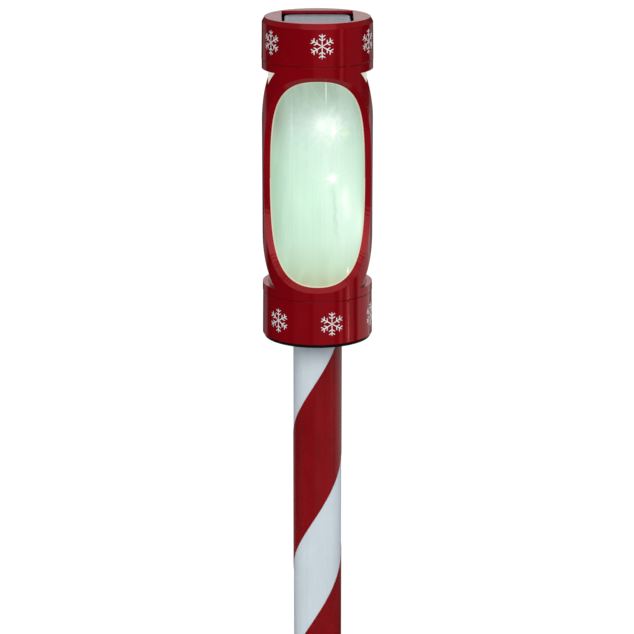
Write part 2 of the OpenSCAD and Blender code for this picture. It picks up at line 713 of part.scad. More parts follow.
// White tray that closes the cap from below and carries the cell, the board and the mast
module battery_tray() color("#e8e8e4") difference() {
    union() {
        translate([0, 0, tray_z]) cylinder(r = tray_r, h = tray_t, $fn = ROUND);
        intersection() {
            translate([-box_half_l - box_wall, cell_y - box_half_w - box_wall, tray_z])
                cube([2 * (box_half_l + box_wall), 2 * (box_half_w + box_wall),
                    box_top_z + box_wall - tray_z]);
            translate([0, 0, tray_z]) cylinder(r = tray_r, h = cap_h, $fn = ROUND);
        }
        translate([-mast_holder_w / 2, -mast_holder_t / 2, tray_z - mast_holder_h])
            cube([mast_holder_w, mast_holder_t, mast_holder_h + tray_t]);
        for (x = [-1, 1], y = [-1, 1])
            translate([x * (board_w / 2 - 2.5), board_y + y * (board_d / 2 - 2.5), tray_z])
                cylinder(r = 1.8, h = tray_t + post_h, $fn = 32);
        translate([0, cover_tab_y, tray_z])
            cylinder(r = boss_r, h = screw_l + 1, $fn = 32);
    }
    translate([-box_half_l, cell_y - box_half_w, tray_z - THROUGH])
        cube([2 * box_half_l, 2 * box_half_w, box_top_z - tray_z + THROUGH]);
    for (side = [-1, 1])
        translate([side * (box_half_l - contact_t / 2) - 0.6, cell_y - tab_w / 2 - 0.4, box_top_z - THROUGH])
            cube([1.2, tab_w + 0.8, box_wall + 2 * THROUGH]);
    translate([-mast_w / 2 - mast_slot_gap, -board_t / 2 - mast_slot_gap,
        tray_z - mast_holder_h - THROUGH])
        cube([mast_w + 2 * mast_slot_gap, board_t + 2 * mast_slot_gap,
            mast_holder_h + tray_t + 2 * THROUGH]);
    translate([-lever_w / 2 - move_gap, switch_y - lever_d / 2 - move_gap, tray_z - THROUGH])
        cube([lever_w + switch_travel + 2 * move_gap, lever_d + 2 * move_gap, tray_t + 2 * THROUGH]);
    at_angles(tray_screw_at, tray_screw_angles) translate([0, 0, tray_z - THROUGH])
        cylinder(r = screw_hole_r, h = tray_t + 2 * THROUGH, $fn = 32);
    translate([0, cover_tab_y, tray_z - THROUGH])
        cylinder(r = pilot_r, h = screw_l - cover_t + THROUGH, $fn = 32);
}

// AAA cell with its nub
module battery_cell() color("#3c7a4a") translate([-cell_l / 2, cell_y, cell_z]) rotate([0, 90, 0]) {
    cylinder(r = cell_d / 2, h = cell_l - 0.8, $fn = 64);
    cylinder(r = 1.9, h = cell_l, $fn = 32);
}

// Sprung plates at the two ends of the cell, with their solder tabs
module battery_contacts() color("#c8c8c4") for (side = [-1, 1]) {
    plate_x = side * (box_half_l - contact_t / 2);
    translate([plate_x - contact_t / 2, cell_y - contact_w / 2, cell_z - contact_w / 2])
        cube([contact_t, contact_w, contact_w]);
    translate([plate_x - contact_t / 2, cell_y - tab_w / 2, cell_z])
        cube([contact_t, tab_w, tab_top_z - cell_z]);
    translate([side * cell_l / 2, cell_y, cell_z]) rotate([0, side * 90, 0])
        cylinder(r = 1.5, h = contact_room - contact_t / 2, $fn = 32);
}

// Cover under the cell, held by one screw through its tab
module battery_cover() color("#e0e0dc") difference() {
    translate([0, 0, tray_z - cover_t]) {
        translate([-box_half_l - cover_lip, cell_y - box_half_w - cover_lip, 0])
            cube([2 * (box_half_l + cover_lip), 2 * (box_half_w + cover_lip), cover_t]);
        translate([-cover_tab_r, cell_y, 0]) cube([2 * cover_tab_r, cover_tab_y - cell_y, cover_t]);
        translate([0, cover_tab_y, 0]) cylinder(r = cover_tab_r, h = cover_t, $fn = 32);
    }
    translate([0, cover_tab_y, tray_z - cover_t - THROUGH])
        cylinder(r = screw_hole_r, h = cover_t + 2 * THROUGH, $fn = 32);
}

// Screws that hold the tray in the cap, and the cover on the tray
module tray_screws() color("#b8b8bc") {
    at_angles(tray_screw_at, tray_screw_angles) translate([0, 0, tray_z]) screw();
    translate([0, cover_tab_y, tray_z - cover_t]) screw();
}

// Circuit board with its chips and coil
module control_board() color("#2f6b3c") {
    translate([-board_w / 2, board_y - board_d / 2, board_z]) cube([board_w, board_d, board_t]);
    for (c = chips) translate([c[0] - c[2] / 2, board_y + c[1] - c[3] / 2, board_z])
        cube([c[2], c[3], board_t + c[4]]);
    translate([coil_x, board_y + coil_y, board_z]) cylinder(r = coil_r, h = board_t + coil_h, $fn = 48);
}

// Slide switch under the board, open below for its lever
module switch_body() color("#a8a8ac") difference() {
    translate([-switch_w / 2 + switch_travel / 2, switch_y - switch_d / 2, board_z - switch_h])
        cube([switch_w, switch_d, switch_h]);
    translate([-lever_w / 2 - move_gap, switch_y - lever_d / 2 - move_gap, board_z - switch_h - THROUGH])
        cube([lever_w + switch_travel + 2 * move_gap, lever_d + 2 * move_gap,
            lever_top_z + move_gap - board_z + switch_h + THROUGH]);
}

module switch_lever() color("#202022")
    translate([-lever_w / 2, switch_y - lever_d / 2, lever_tip_z])
        cube([lever_w, lever_d, lever_top_z - lever_tip_z]);

// Narrow board that hangs down the middle of the diffuser
module light_mast() color("#f0f0ee")
    translate([-mast_w / 2, -board_t / 2, mast_z]) cube([mast_w, board_t, mast_l]);

// Domed lights in pairs, back to back on the mast
module mast_lights() color("#f6fff8")
    for (row = [0 : led_rows - 1], turn = [0, 180]) rotate([0, 0, turn])
        translate([0, -board_t / 2, first_led_z + row * led_pitch]) {
            translate([-led_side / 2, -led_base_t, -led_side / 2])
                cube([led_side, led_base_t, led_side]);
            rotate([90, 0, 0]) intersection() {
                sphere(r = led_dome_r + led_base_t / 2, $fn = 48);
                cylinder(r = led_dome_r, h = led_dome_r + led_base_t, $fn = 48);
            }
        }

module panel_wires() color("#b02020") {
    wire(panel_wire_route);
    wire(mirrored(panel_wire_route));
}

module battery_wires() color("#b02020") {
    wire(battery_wire_route);
    wire(mirrored(battery_wire_route));
}

module mast_wires() color("#b02020") {
    wire(mast_wire_route);
    wire(mirrored(mast_wire_route));
}

ground_spike();
lower_tube();
lower_stripe();
pole_coupler();
upper_tube();
upper_stripe();
base_plate();
base_cup();
base_screws();
band_snowflakes();
diffuser_seal();
diffuser();
crinkled_film();
cage();
cap_seal();
cap_shell();
cap_snowflakes();
panel_pad();
solar_panel();
battery_tray();
battery_cell();
battery_contacts();
battery_cover();
tray_screws();
control_board();
switch_body();
switch_lever();
light_mast();
mast_lights();
panel_wires();
battery_wires();
mast_wires();
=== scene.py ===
# Solar bollard light: a glowing lantern head with a solar cap, on a striped pole with a ground spike.
# Everything is in metres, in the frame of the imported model: +Z up, the front window faces -Y.
import math

import bpy
import numpy as np
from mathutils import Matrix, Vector


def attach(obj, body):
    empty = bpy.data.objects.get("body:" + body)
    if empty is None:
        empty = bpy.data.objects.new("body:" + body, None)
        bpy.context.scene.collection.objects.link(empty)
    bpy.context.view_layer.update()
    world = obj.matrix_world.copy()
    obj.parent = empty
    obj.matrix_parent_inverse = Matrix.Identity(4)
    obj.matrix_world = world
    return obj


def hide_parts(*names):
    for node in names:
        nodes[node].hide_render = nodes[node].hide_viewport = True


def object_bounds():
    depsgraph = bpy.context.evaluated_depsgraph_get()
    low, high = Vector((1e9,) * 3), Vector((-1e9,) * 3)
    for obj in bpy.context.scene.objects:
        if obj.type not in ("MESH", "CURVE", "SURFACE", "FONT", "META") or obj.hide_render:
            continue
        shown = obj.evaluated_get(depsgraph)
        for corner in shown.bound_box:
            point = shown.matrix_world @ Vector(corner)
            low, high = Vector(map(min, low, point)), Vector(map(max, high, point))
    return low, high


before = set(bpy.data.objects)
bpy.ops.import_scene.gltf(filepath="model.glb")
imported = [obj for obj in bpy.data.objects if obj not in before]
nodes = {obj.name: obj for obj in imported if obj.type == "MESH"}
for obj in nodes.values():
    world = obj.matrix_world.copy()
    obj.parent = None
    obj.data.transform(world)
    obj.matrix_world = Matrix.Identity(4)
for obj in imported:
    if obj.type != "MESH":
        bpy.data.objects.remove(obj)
cad_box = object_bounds()


# Camera: a long lens a little above the head, looking down at it from the front and a touch from the left.
# It takes in the head and the upper half of the pole.
CAMERA_TARGET = Vector((-0.00028, 0, 0.5021))
CAMERA_DISTANCE = 1.8077
CAMERA_AZIMUTH = -0.5
CAMERA_ELEVATION = 15.14
CAMERA_LENS = 148.9
SENSOR_WIDTH = 36


def direction(azimuth, elevation):
    """Unit vector from the object towards a place: azimuth 0 is the front and 90 the right, in degrees."""
    a = math.radians(azimuth)
    e = math.radians(elevation)
    return Vector((math.sin(a) * math.cos(e), -math.cos(a) * math.cos(e), math.sin(e)))


def place(name, data, spot, towards):
    """Links an object at a spot, its -Z axis pointing at another."""
    thing = bpy.data.objects.new(name, data)
    bpy.context.scene.collection.objects.link(thing)
    thing.location = spot
    thing.rotation_euler = (spot - towards).to_track_quat("Z", "Y").to_euler()
    return thing


camera_data = bpy.data.cameras.new("camera")
camera_data.lens = CAMERA_LENS
camera_data.sensor_width = SENSOR_WIDTH
camera = place("camera", camera_data,
               CAMERA_TARGET + CAMERA_DISTANCE * direction(CAMERA_AZIMUTH, CAMERA_ELEVATION), CAMERA_TARGET)
bpy.context.scene.camera = camera
bpy.context.scene.view_settings.view_transform = "Standard"


# Studio floor: a pale round board that fades into the white surroundings, seen from above only.
# The spike's point stands on it, so that the whole stake shows.
FLOOR_Z = cad_box[0].z - 0.0005
FLOOR_RADIUS = 1.05
FLOOR_RINGS = (0.02, 0.3, 0.6, FLOOR_RADIUS)
FLOOR_STEPS = 96
FLOOR_FADE = 0.45
FLOOR_PALE = (0.86, 0.87, 0.88)
FLOOR_GLOW = 0.4


def grid_faces(rows, columns, closed=False):
    """Corner numbers of the quads of a grid of points; closed joins its last column to its first."""
    i, j = np.meshgrid(np.arange(rows - 1), np.arange(columns if closed else columns - 1), indexing="ij")
    a = i * columns + j
    b = i * columns + (j + 1) % columns
    return np.stack([a, b, b + columns, a + columns], -1).reshape(-1, 4)


def make_piece(name, points, faces, material, sharp=35):
    """An object from points and lists of faces, smooth except where faces meet at over sharp degrees."""
    mesh = bpy.data.meshes.new(name)
    corner_lists = [face for group in faces for face in np.asarray(group).tolist()]
    mesh.from_pydata(np.asarray(points, float).reshape(-1, 3).tolist(), [], corner_lists)
    mesh.materials.append(material)
    mesh.shade_smooth()
    mesh.set_sharp_from_angle(angle=math.radians(sharp))
    piece = bpy.data.objects.new(name, mesh)
    bpy.context.scene.collection.objects.link(piece)
    return piece


class Signal:
    """An output in a node tree. Its sums, products and the like, with numbers or signals, are Math nodes."""

    def __init__(self, tree, socket):
        self.tree = tree
        self.socket = socket

    def __add__(self, other):
        return calc("ADD", self, other)

    def __sub__(self, other):
        return calc("SUBTRACT", self, other)

    def __mul__(self, other):
        return calc("MULTIPLY", self, other)

    def __truediv__(self, other):
        return calc("DIVIDE", self, other)

    def __pow__(self, other):
        return calc("POWER", self, other)

    def __abs__(self):
        return calc("ABSOLUTE", self)


def feed(socket, value):
    """Links a signal to a socket, or sets the socket to a number or a colour."""
    if isinstance(value, Signal):
        value.tree.links.new(value.socket, socket)
    elif isinstance(value, tuple):
        socket.default_value = (*value, 1)
    else:
        socket.default_value = value


def calc(operation, first, *others):
    """The result of a Math node on a signal and other numbers or signals."""
    return source(first.tree, "ShaderNodeMath", 0, enumerate((first, *others)), operation=operation)


def remap(value, from_low, from_high, to_low=0.0, to_high=1.0, smooth=True):
    """A Map Range node, clamped, and smoothed at both ends or straight."""
    inputs = enumerate((value, from_low, from_high, to_low, to_high))
    kind = "SMOOTHSTEP" if smooth else "LINEAR"
    return source(value.tree, "ShaderNodeMapRange", 0, inputs, interpolation_type=kind)


def source(tree, kind, output=0, inputs=(), **settings):
    """An output of a new node. Its inputs come in pairs of a place or name and a value."""
    node = tree.nodes.new(kind)
    for setting, value in settings.items():
        setattr(node, setting, value)
    for socket, value in inputs:
        feed(node.inputs[socket], value)
    return Signal(tree, node.outputs[output])


def object_place(tree):
    """The Object coordinates of the surface."""
    return source(tree, "ShaderNodeTexCoord", "Object")


def axes_of(vector):
    """X, Y and Z of a vector."""
    split = vector.tree.nodes.new("ShaderNodeSeparateXYZ")
    feed(split.inputs[0], vector)
    return [Signal(vector.tree, socket) for socket in split.outputs]


def new_material(name):
    """A material with an empty tree and its output node."""
    material = bpy.data.materials.new(name)
    material.use_nodes = True
    tree = material.node_tree
    tree.nodes.clear()
    return material, tree, tree.nodes.new("ShaderNodeOutputMaterial")


def mix_shaders(part, first, second):
    """A Mix Shader node: the first shader where part is 0 and the second where it is 1."""
    return source(part.tree, "ShaderNodeMixShader", 0, enumerate((part, first, second)))


floor_material, tree, output = new_material("studio_floor")
x, y, _ = axes_of(object_place(tree))
away = calc("SQRT", x * x + y * y)
fade = mix_shaders(remap(away, FLOOR_FADE, FLOOR_RADIUS * 0.97, FLOOR_GLOW, 1.0),
                   source(tree, "ShaderNodeBsdfDiffuse", 0, [("Color", FLOOR_PALE)]),
                   source(tree, "ShaderNodeEmission"))
feed(output.inputs[0], mix_shaders(source(tree, "ShaderNodeNewGeometry", "Backfacing"), fade,
                                   source(tree, "ShaderNodeBsdfTransparent")))

floor_turn = np.linspace(0, 2 * np.pi, FLOOR_STEPS, endpoint=False)
floor_radii = np.array(FLOOR_RINGS)[:, None]
floor_points = np.stack([floor_radii * np.cos(floor_turn), floor_radii * np.sin(floor_turn),
                         np.full((len(FLOOR_RINGS), FLOOR_STEPS), FLOOR_Z)], -1)
floor_faces = grid_faces(len(FLOOR_RINGS), FLOOR_STEPS, closed=True)[:, ::-1]
floor = make_piece("floor", floor_points, [floor_faces, [np.arange(FLOOR_STEPS)]], floor_material)
floor.visible_glossy = False


# Studio light: a soft key box in front lights the colours, and cards and walls round it give the gloss its
# shapes. A pale wall stands in front and one behind, and weak narrow cards stand low at the sides.
# The surroundings are white to the camera and dim to everything else, darkest below eye level.
LIGHT_AIM = Vector((0, 0, 0.55))
LOW_AIM = Vector((0, 0, 0.33))
POLE_AIM = Vector((0, 0, 0.30))
WALL_AIM = Vector((0, 0, 0.72))
SLIT_AIM = Vector((0, 0, 0.505))
AMBIENT = (0.20, 0.207, 0.222)
MIRRORED_GREY = (0.8, 0.8, 0.8)
MIRRORED_DARK = 0.010
MIRRORED_SKY = 0.20
SHOWN_WHITE = 1.05


def panel_light(name, azimuth, elevation, distance, width, height, brightness, aim=LIGHT_AIM, lights=True,
                mirrored=True):
    """A soft rectangular light at a direction and distance from its aim, of that radiance.

    One that only lights isn't mirrored, and a card that is only mirrored lights nothing."""
    data = bpy.data.lights.new(name, "AREA")
    data.shape = "RECTANGLE"
    data.size = width
    data.size_y = height
    data.energy = brightness * math.pi * width * height
    light = place(name, data, aim + distance * direction(azimuth, elevation), aim)
    light.visible_camera = False
    light.visible_diffuse = lights
    light.visible_glossy = mirrored


panel_light("key_box", 1, 32, 1.7, 1.2, 0.9, 5.0, mirrored=False)
panel_light("back_key", 178, 25, 1.9, 1.2, 0.9, 2.4, mirrored=False)
for name, azimuth, brightness in (("pole_fill_left", -85, 0.75), ("pole_fill_right", 85, 0.75),
                                  ("pole_fill_front", 0, 0.28)):
    panel_light(name, azimuth, -4, 0.35, 0.2, 0.3, brightness, aim=POLE_AIM, mirrored=False)
panel_light("top_box", 0, 88, 1.2, 0.8, 0.8, 0.5)
panel_light("back_wall", 180, 20, 2.2, 2.6, 1.0, 0.8, aim=WALL_AIM)
for card in (("front_wall", 4, 20, 2.0, 2.6, 1.3, 0.9),
             ("upper_card", 3, 54, 2.0, 2.2, 0.7, 0.38),
             ("low_glow", 13, -15, 1.1, 0.86, 0.7, 0.12),
             ("band_glow", -34, -14, 1.1, 0.62, 0.24, 0.07),
             ("right_strip", 49.5, -15, 1.1, 0.13, 0.7, 0.36),
             ("right_dusk", 80, -2, 1.15, 0.9, 0.26, 0.09),
             ("right_panel", 117, -6, 1.1, 1.0, 0.42, 0.55, LOW_AIM),
             ("band_dusk", 70, -6, 1.15, 0.40, 0.42, 0.32, LOW_AIM),
             ("right_rim", 146, -12, 1.2, 0.5, 0.8, 0.26),
             ("left_rim", -142, -12, 1.2, 0.45, 0.8, 0.22),
             ("right_slit", 67, -14, 1.0, 0.04, 0.016, 8.0, SLIT_AIM)):
    panel_light(*card, lights=False)

world = bpy.data.worlds.new("studio")
bpy.context.scene.world = world
world.use_nodes = True
tree = world.node_tree
tree.nodes.clear()


def background(colour, strength):
    """One of the world's backgrounds."""
    return source(tree, "ShaderNodeBackground", 0, [("Color", colour), ("Strength", strength)])


skyward = axes_of(source(tree, "ShaderNodeTexCoord", "Generated"))[2]
mirrored_sky = background(MIRRORED_GREY, remap(skyward, 0.05, 0.40, MIRRORED_DARK, MIRRORED_SKY))
unseen = mix_shaders(source(tree, "ShaderNodeLightPath", "Is Glossy Ray"), background(AMBIENT, 1.0),
                     mirrored_sky)
shown = mix_shaders(source(tree, "ShaderNodeLightPath", "Is Camera Ray"), unseen,
                    background((1, 1, 1), SHOWN_WHITE))
feed(tree.nodes.new("ShaderNodeOutputWorld").inputs[0], shown)


# Ground spike: flange, hub, spigot and crossed fins in one moulding of tough black polypropylene.
# Its skin has the fine spark-eroded grain of the mould, and its edges are broken by a small radius.
SPIKE_BLACK = (0.012, 0.012, 0.013)

# How far a hairline changes the colour and the roughness, and how deep it is
SCUFF_TINT = 0.35
SCUFF_ROUGH = 0.2
SCUFF_DEPTH = 4e-6


def group(name, inputs, outputs):
    """An empty node group: its tree, its input signals by name, and the sockets of its outputs."""
    tree = bpy.data.node_groups.new(name, "ShaderNodeTree")
    for socket, value in inputs.items():
        tree.interface.new_socket(socket, in_out="INPUT", socket_type="NodeSocketFloat").default_value = value
    for socket in outputs:
        tree.interface.new_socket(socket, in_out="OUTPUT", socket_type="NodeSocketFloat")
    start = tree.nodes.new("NodeGroupInput")
    given = {socket: Signal(tree, start.outputs[socket]) for socket in inputs}
    return tree, given, tree.nodes.new("NodeGroupOutput").inputs


def use(tree, shared, values):
    """Places a shared node group in a tree with its own input values; returns its outputs by name."""
    node = tree.nodes.new("ShaderNodeGroup")
    node.node_tree = shared
    for name, value in values.items():
        feed(node.inputs[name], value)
    return {socket.name: Signal(tree, socket) for socket in node.outputs}


def stretched(vector, scale, turn=(0, 0, 0)):
    """A vector turned and stretched along the axes."""
    node = vector.tree.nodes.new("ShaderNodeMapping")
    node.inputs["Rotation"].default_value = turn
    node.inputs["Scale"].default_value = scale
    feed(node.inputs["Vector"], vector)
    return Signal(vector.tree, node.outputs[0])


def noise(vector, scale, detail=2.0, roughness=0.5, distortion=0.0, stretch=(1, 1, 1)):
    """A Noise Texture whose features are about 1/scale metres across, stretched along the axes."""
    inputs = {"Vector": stretched(vector, stretch), "Scale": scale, "Detail": detail, "Roughness": roughness,
              "Distortion": distortion}
    return source(vector.tree, "ShaderNodeTexNoise", "Fac", inputs.items())


# Moulded skin: slow waves where the wall shrank, fine grain, and faint flow marks that run up the piece.
# Heights are in metres; Tint runs from 0 to 1 and Gloss is a small number either side of nothing.
moulded_skin, given, made = group("moulded_skin", {"Wave Height": 2e-5, "Grain Height": 2e-6,
                                                   "Gloss Change": 0.06}, ("Tint", "Gloss", "Height"))
coordinates = object_place(moulded_skin)
waves = noise(coordinates, 70, detail=1.0)
grain = noise(coordinates, 2600, detail=1.5)
flow = noise(coordinates, 90, detail=3.0, distortion=0.4, stretch=(1, 1, 0.22))
clouds = noise(coordinates, 24, detail=2.0)
feed(made["Height"], waves * given["Wave Height"] + grain * given["Grain Height"])
feed(made["Tint"], remap((flow + clouds) * 0.5, 0.35, 0.65))
feed(made["Gloss"], (flow - 0.5) * given["Gloss Change"])

# Hairline scratches from handling: thin broken lines in two directions, at the cracks of stretched cells.
hairlines, given, made = group("hairlines", {"Amount": 0.5}, ("Mask",))
coordinates = object_place(hairlines)
lines = []
for turn, stretch in ((0.5, (1, 1, 0.05)), (1.1, (0.06, 1, 1))):
    turned = stretched(coordinates, stretch, (turn, turn * 0.7, 0))
    cracks = source(hairlines, "ShaderNodeTexVoronoi", "Distance", [("Scale", 420), ("Vector", turned)],
                    feature="DISTANCE_TO_EDGE")
    lines.append(remap(cracks, 0.006, 0.03, 1.0, 0.0))
broken = remap(noise(coordinates, 160), 0.56, 0.66)
feed(made["Mask"], calc("MAXIMUM", *lines) * broken * given["Amount"])


def blend(part, first, second):
    """A Mix node between two colours, given as tuples or signals."""
    inputs = [("Factor", part), (6, first), (7, second)]
    return source(part.tree, "ShaderNodeMix", 2, inputs, data_type="RGBA")


def surface(tree, output, inputs, height=None, normal="Normal"):
    """A Principled shader with these inputs; a height in metres bumps the normal of that name."""
    shader = tree.nodes.new("ShaderNodeBsdfPrincipled")
    for name, value in inputs.items():
        feed(shader.inputs[name], value)
    if height:
        bump = source(tree, "ShaderNodeBump", 0, [("Distance", 1.0), ("Height", height)])
        feed(shader.inputs[normal], bump)
    tree.links.new(shader.outputs[0], output.inputs[0])


def moulded_plastic(name, colour, roughness, wave=2e-5, grain=2e-6, scratches=0.4, tint=0.16, gloss=0.08,
                    flake=0.0, shine=0.5, paint=None):
    """Injection-moulded plastic: its colour and gloss drift a little, and it has grain and hairlines.

    flake is the share of fine metallic pigment and shine the strength of the gloss; paint may take the plain
    colour and give another."""
    material, tree, output = new_material(name)
    skin = use(tree, moulded_skin, {"Wave Height": wave, "Grain Height": grain, "Gloss Change": gloss})
    marks = use(tree, hairlines, {"Amount": scratches})["Mask"]
    dark = tuple(part * (1 - tint) for part in colour)
    light = tuple(min(part * (1 + tint), 1) for part in colour)
    scuffed = tuple(part * 0.85 + 0.02 for part in colour)
    shade = blend(skin["Tint"], dark, light)
    if paint:
        shade = paint(shade)
    surface(tree, output, {"Base Color": blend(marks * SCUFF_TINT, shade, scuffed),
                           "Roughness": skin["Gloss"] + roughness + marks * SCUFF_ROUGH,
                           "Metallic": flake, "Specular IOR Level": shine},
            height=skin["Height"] - marks * SCUFF_DEPTH)
    return material


spike_black = moulded_plastic("spike_black", SPIKE_BLACK, 0.42, wave=1.5e-5, grain=6e-6, scratches=0.7)
nodes["ground_spike"].data.materials[0] = spike_black


# Pole tubes: two lengths of thin white tube, extruded in ABS, the upper one standing on the lower.
# The skin is glossy, with the faint long lines of the die along it.
TUBE_WHITE = (0.79, 0.88, 0.93)
DIE_GREY = (0.63, 0.71, 0.76)


def die_lines(shade):
    """Faint lines along the tube, from noise that is very long in Z."""
    drawn = noise(object_place(shade.tree), 700, stretch=(1, 1, 0.004))
    return blend(remap(drawn, 0.35, 0.7, 0.0, 0.16), shade, DIE_GREY)


tube_white = moulded_plastic("tube_white", TUBE_WHITE, 0.26, wave=1e-5, grain=1e-6, scratches=0.3, tint=0.03,
                             gloss=0.06, paint=die_lines)
nodes["lower_tube"].data.materials[0] = tube_white
nodes["upper_tube"].data.materials[0] = tube_white


# Stripe: a band of red film wound round the pole like a candy cane's and cut off level at each tube's end.
# It is self-adhesive vinyl with a soft gloss, fine orange-peel and edges almost flush with the tube.
STRIPE_RED = (0.285, 0.0012, 0.005)
STRIPE_OUTER = 0.0169
STRIPE_INNER = 0.01668
STRIPE_PITCH = 0.172
STRIPE_HEIGHT = 0.0978
STRIPE_TOP_AT_FRONT = 0.4615
STRIPE_TIP = 0.0005
STRIPE_EDGE = 0.00008
STRIPE_STEPS = 540
STRIPE_FOOT = 0.0132
TUBE_JOINT = 0.2475
STRIPE_END = 0.4898


def stripe_points(low, high):
    """Rings of six corners across a film that climbs one pitch in a turn.

    At turn t the film's top is at front + pitch * t / 2 pi, and both edges are clipped to the tube's ends."""
    start = (low + STRIPE_TIP - STRIPE_TOP_AT_FRONT) * 2 * np.pi / STRIPE_PITCH
    end = (high - STRIPE_TIP + STRIPE_HEIGHT - STRIPE_TOP_AT_FRONT) * 2 * np.pi / STRIPE_PITCH
    turn = np.linspace(start, end, STRIPE_STEPS)
    top = STRIPE_TOP_AT_FRONT + STRIPE_PITCH * turn / (2 * np.pi)
    upper = np.minimum(top, high)
    lower = np.maximum(top - STRIPE_HEIGHT, low)
    radii = np.array([STRIPE_INNER, STRIPE_OUTER - STRIPE_EDGE, STRIPE_OUTER, STRIPE_OUTER,
                      STRIPE_OUTER - STRIPE_EDGE, STRIPE_INNER])
    heights = np.stack([lower, lower, lower + STRIPE_EDGE, upper - STRIPE_EDGE, upper, upper], -1)
    return np.stack([radii * np.sin(turn)[:, None], -radii * np.cos(turn)[:, None], heights], -1)


stripe_red = moulded_plastic("stripe_red", STRIPE_RED, 0.27, wave=1.2e-5, grain=2.5e-6, scratches=0.15,
                             gloss=0.05, shine=0.38)
for node, body, low, high in (("lower_stripe", "lower_pole", STRIPE_FOOT, TUBE_JOINT),
                              ("upper_stripe", "upper_pole", TUBE_JOINT, STRIPE_END)):
    film = make_piece(node + "_film", stripe_points(low, high),
                      [grid_faces(STRIPE_STEPS, 6, closed=True), [[5, 4, 3, 2, 1, 0]],
                       [np.arange(6) + 6 * (STRIPE_STEPS - 1)]], stripe_red)
    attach(film, body)
    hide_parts(node)


# Coupler: a white ABS sleeve pressed into the lower tube; the upper tube slides over its free half.
# It is a plain moulded tube, hidden once the pole is put together.
sleeve_white = moulded_plastic("sleeve_white", (0.66, 0.67, 0.66), 0.4, grain=3e-6, tint=0.05)
nodes["pole_coupler"].data.materials[0] = sleeve_white


# Base plate: black ABS with the pole's socket in its middle; its rim shows as a dark line under the band.
# It is screwed up into the bosses of the band's deck.
plate_black = moulded_plastic("plate_black", (0.005, 0.005, 0.0055), 0.4, grain=3e-6, scratches=0.5,
                              shine=0.15)
nodes["base_plate"].data.materials[0] = plate_black


# Band: the red moulded cup under the cage, with a deck inside that carries the diffuser.
# All red mouldings are the same glossy ABS, coloured right through with a little fine red flake.
CANDY_RED = (0.37, 0.001, 0.0075)
RED_FLAKE = 0.3
RED_GLOSS = 0.13
LOWER_JOINT = 0.5224
UPPER_JOINT = 0.682
JOINT_HALF = 0.00045
JOINT_SHADE = 0.45
JOINT_DARK = (0.03, 0.0005, 0.001)


def shaded_joints(shade):
    """Painted shadow: dark fine lines in the two joints of the head, where shade gathers."""
    z = axes_of(object_place(shade.tree))[2]
    for level in (LOWER_JOINT, UPPER_JOINT):
        line = remap(abs(z - level), JOINT_HALF * 0.6, JOINT_HALF, JOINT_SHADE, 0.0)
        shade = blend(line, shade, JOINT_DARK)
    return shade


def candy_red(name):
    """The head's red plastic: glossy, deep, with slow waves in its skin and shaded joints."""
    return moulded_plastic(name, CANDY_RED, RED_GLOSS, wave=1.6e-5, grain=1.2e-6, scratches=0.35, tint=0.07,
                           gloss=0.05, flake=RED_FLAKE, paint=shaded_joints)


nodes["base_cup"].data.materials[0] = candy_red("cup_red")


# Base screws: four zinc-plated pan heads with a cross recess, driven up through the base plate.
# They are self-tapping steel screws that bite into the bosses of the band's deck.
SCREW_HEAD_RADIUS = 0.0023
SCREW_HEAD_HEIGHT = 0.0015
SCREW_SHANK_RADIUS = 0.0012
SCREW_SHANK = 0.010
SCREW_THREAD_RINGS = 37
SCREW_DOME_RINGS = 14
SCREW_RECESS = 0.0007
SCREW_STEPS = 48
BASE_SCREW_CIRCLE = 0.026875
BASE_SCREW_SEAT = 0.4918
BASE_SCREW_ANGLES = (45, 135, 225, 315)


def turned_faces(rings, around):
    """Faces of a closed turned skin: quads between its rings and a fan onto a last point at each end."""
    quads = grid_faces(rings, around, closed=True)
    k = np.arange(around)
    after = (k + 1) % around
    first = rings * around
    last = (rings - 1) * around
    return [quads, np.stack([np.full(around, first), after, k], -1),
            np.stack([np.full(around, first + 1), last + k, last + after], -1)]


def screw_points(seat):
    """Points of a screw that points up: shank and pan head turned about Z, with a cross sunk in the head.

    The head's lower face is a dome; the cross is where the smaller of |x| and |y| is under a slot's half."""
    turn = np.linspace(0, 2 * np.pi, SCREW_STEPS, endpoint=False)
    dome = np.linspace(0.06, 0.86, SCREW_DOME_RINGS)
    radii = np.concatenate([dome, [0.95, 1.0, 1.0, 0.97]]) * SCREW_HEAD_RADIUS
    drop = np.concatenate([1 - 0.28 * dome ** 2, [0.7, 0.56, 0.06, 0.0]]) * SCREW_HEAD_HEIGHT
    threads = np.linspace(0, SCREW_SHANK - 0.0012, SCREW_THREAD_RINGS)
    shank = SCREW_SHANK_RADIUS * np.where(np.arange(SCREW_THREAD_RINGS) % 2 == 0, 0.86, 1.0)
    radii = np.concatenate([radii, shank, [0.0003]])
    heights = np.concatenate([-drop, threads, [SCREW_SHANK]])
    x = radii[:, None] * np.cos(turn)
    y = radii[:, None] * np.sin(turn)
    z = np.repeat(heights[:, None], SCREW_STEPS, 1)
    narrow = np.minimum(np.abs(x), np.abs(y)) / SCREW_HEAD_RADIUS
    wide = np.maximum(np.abs(x), np.abs(y)) / SCREW_HEAD_RADIUS
    cross = np.clip((0.19 - narrow) / 0.07, 0, 1) * np.clip((0.66 - wide) / 0.16, 0, 1)
    z[:SCREW_DOME_RINGS] += SCREW_RECESS * cross[:SCREW_DOME_RINGS]
    rings = np.stack([x, y, z + seat], -1).reshape(-1, 3)
    ends = [[0, 0, -SCREW_HEAD_HEIGHT + SCREW_RECESS + seat], [0, 0, SCREW_SHANK + seat]]
    return np.concatenate([rings, ends])


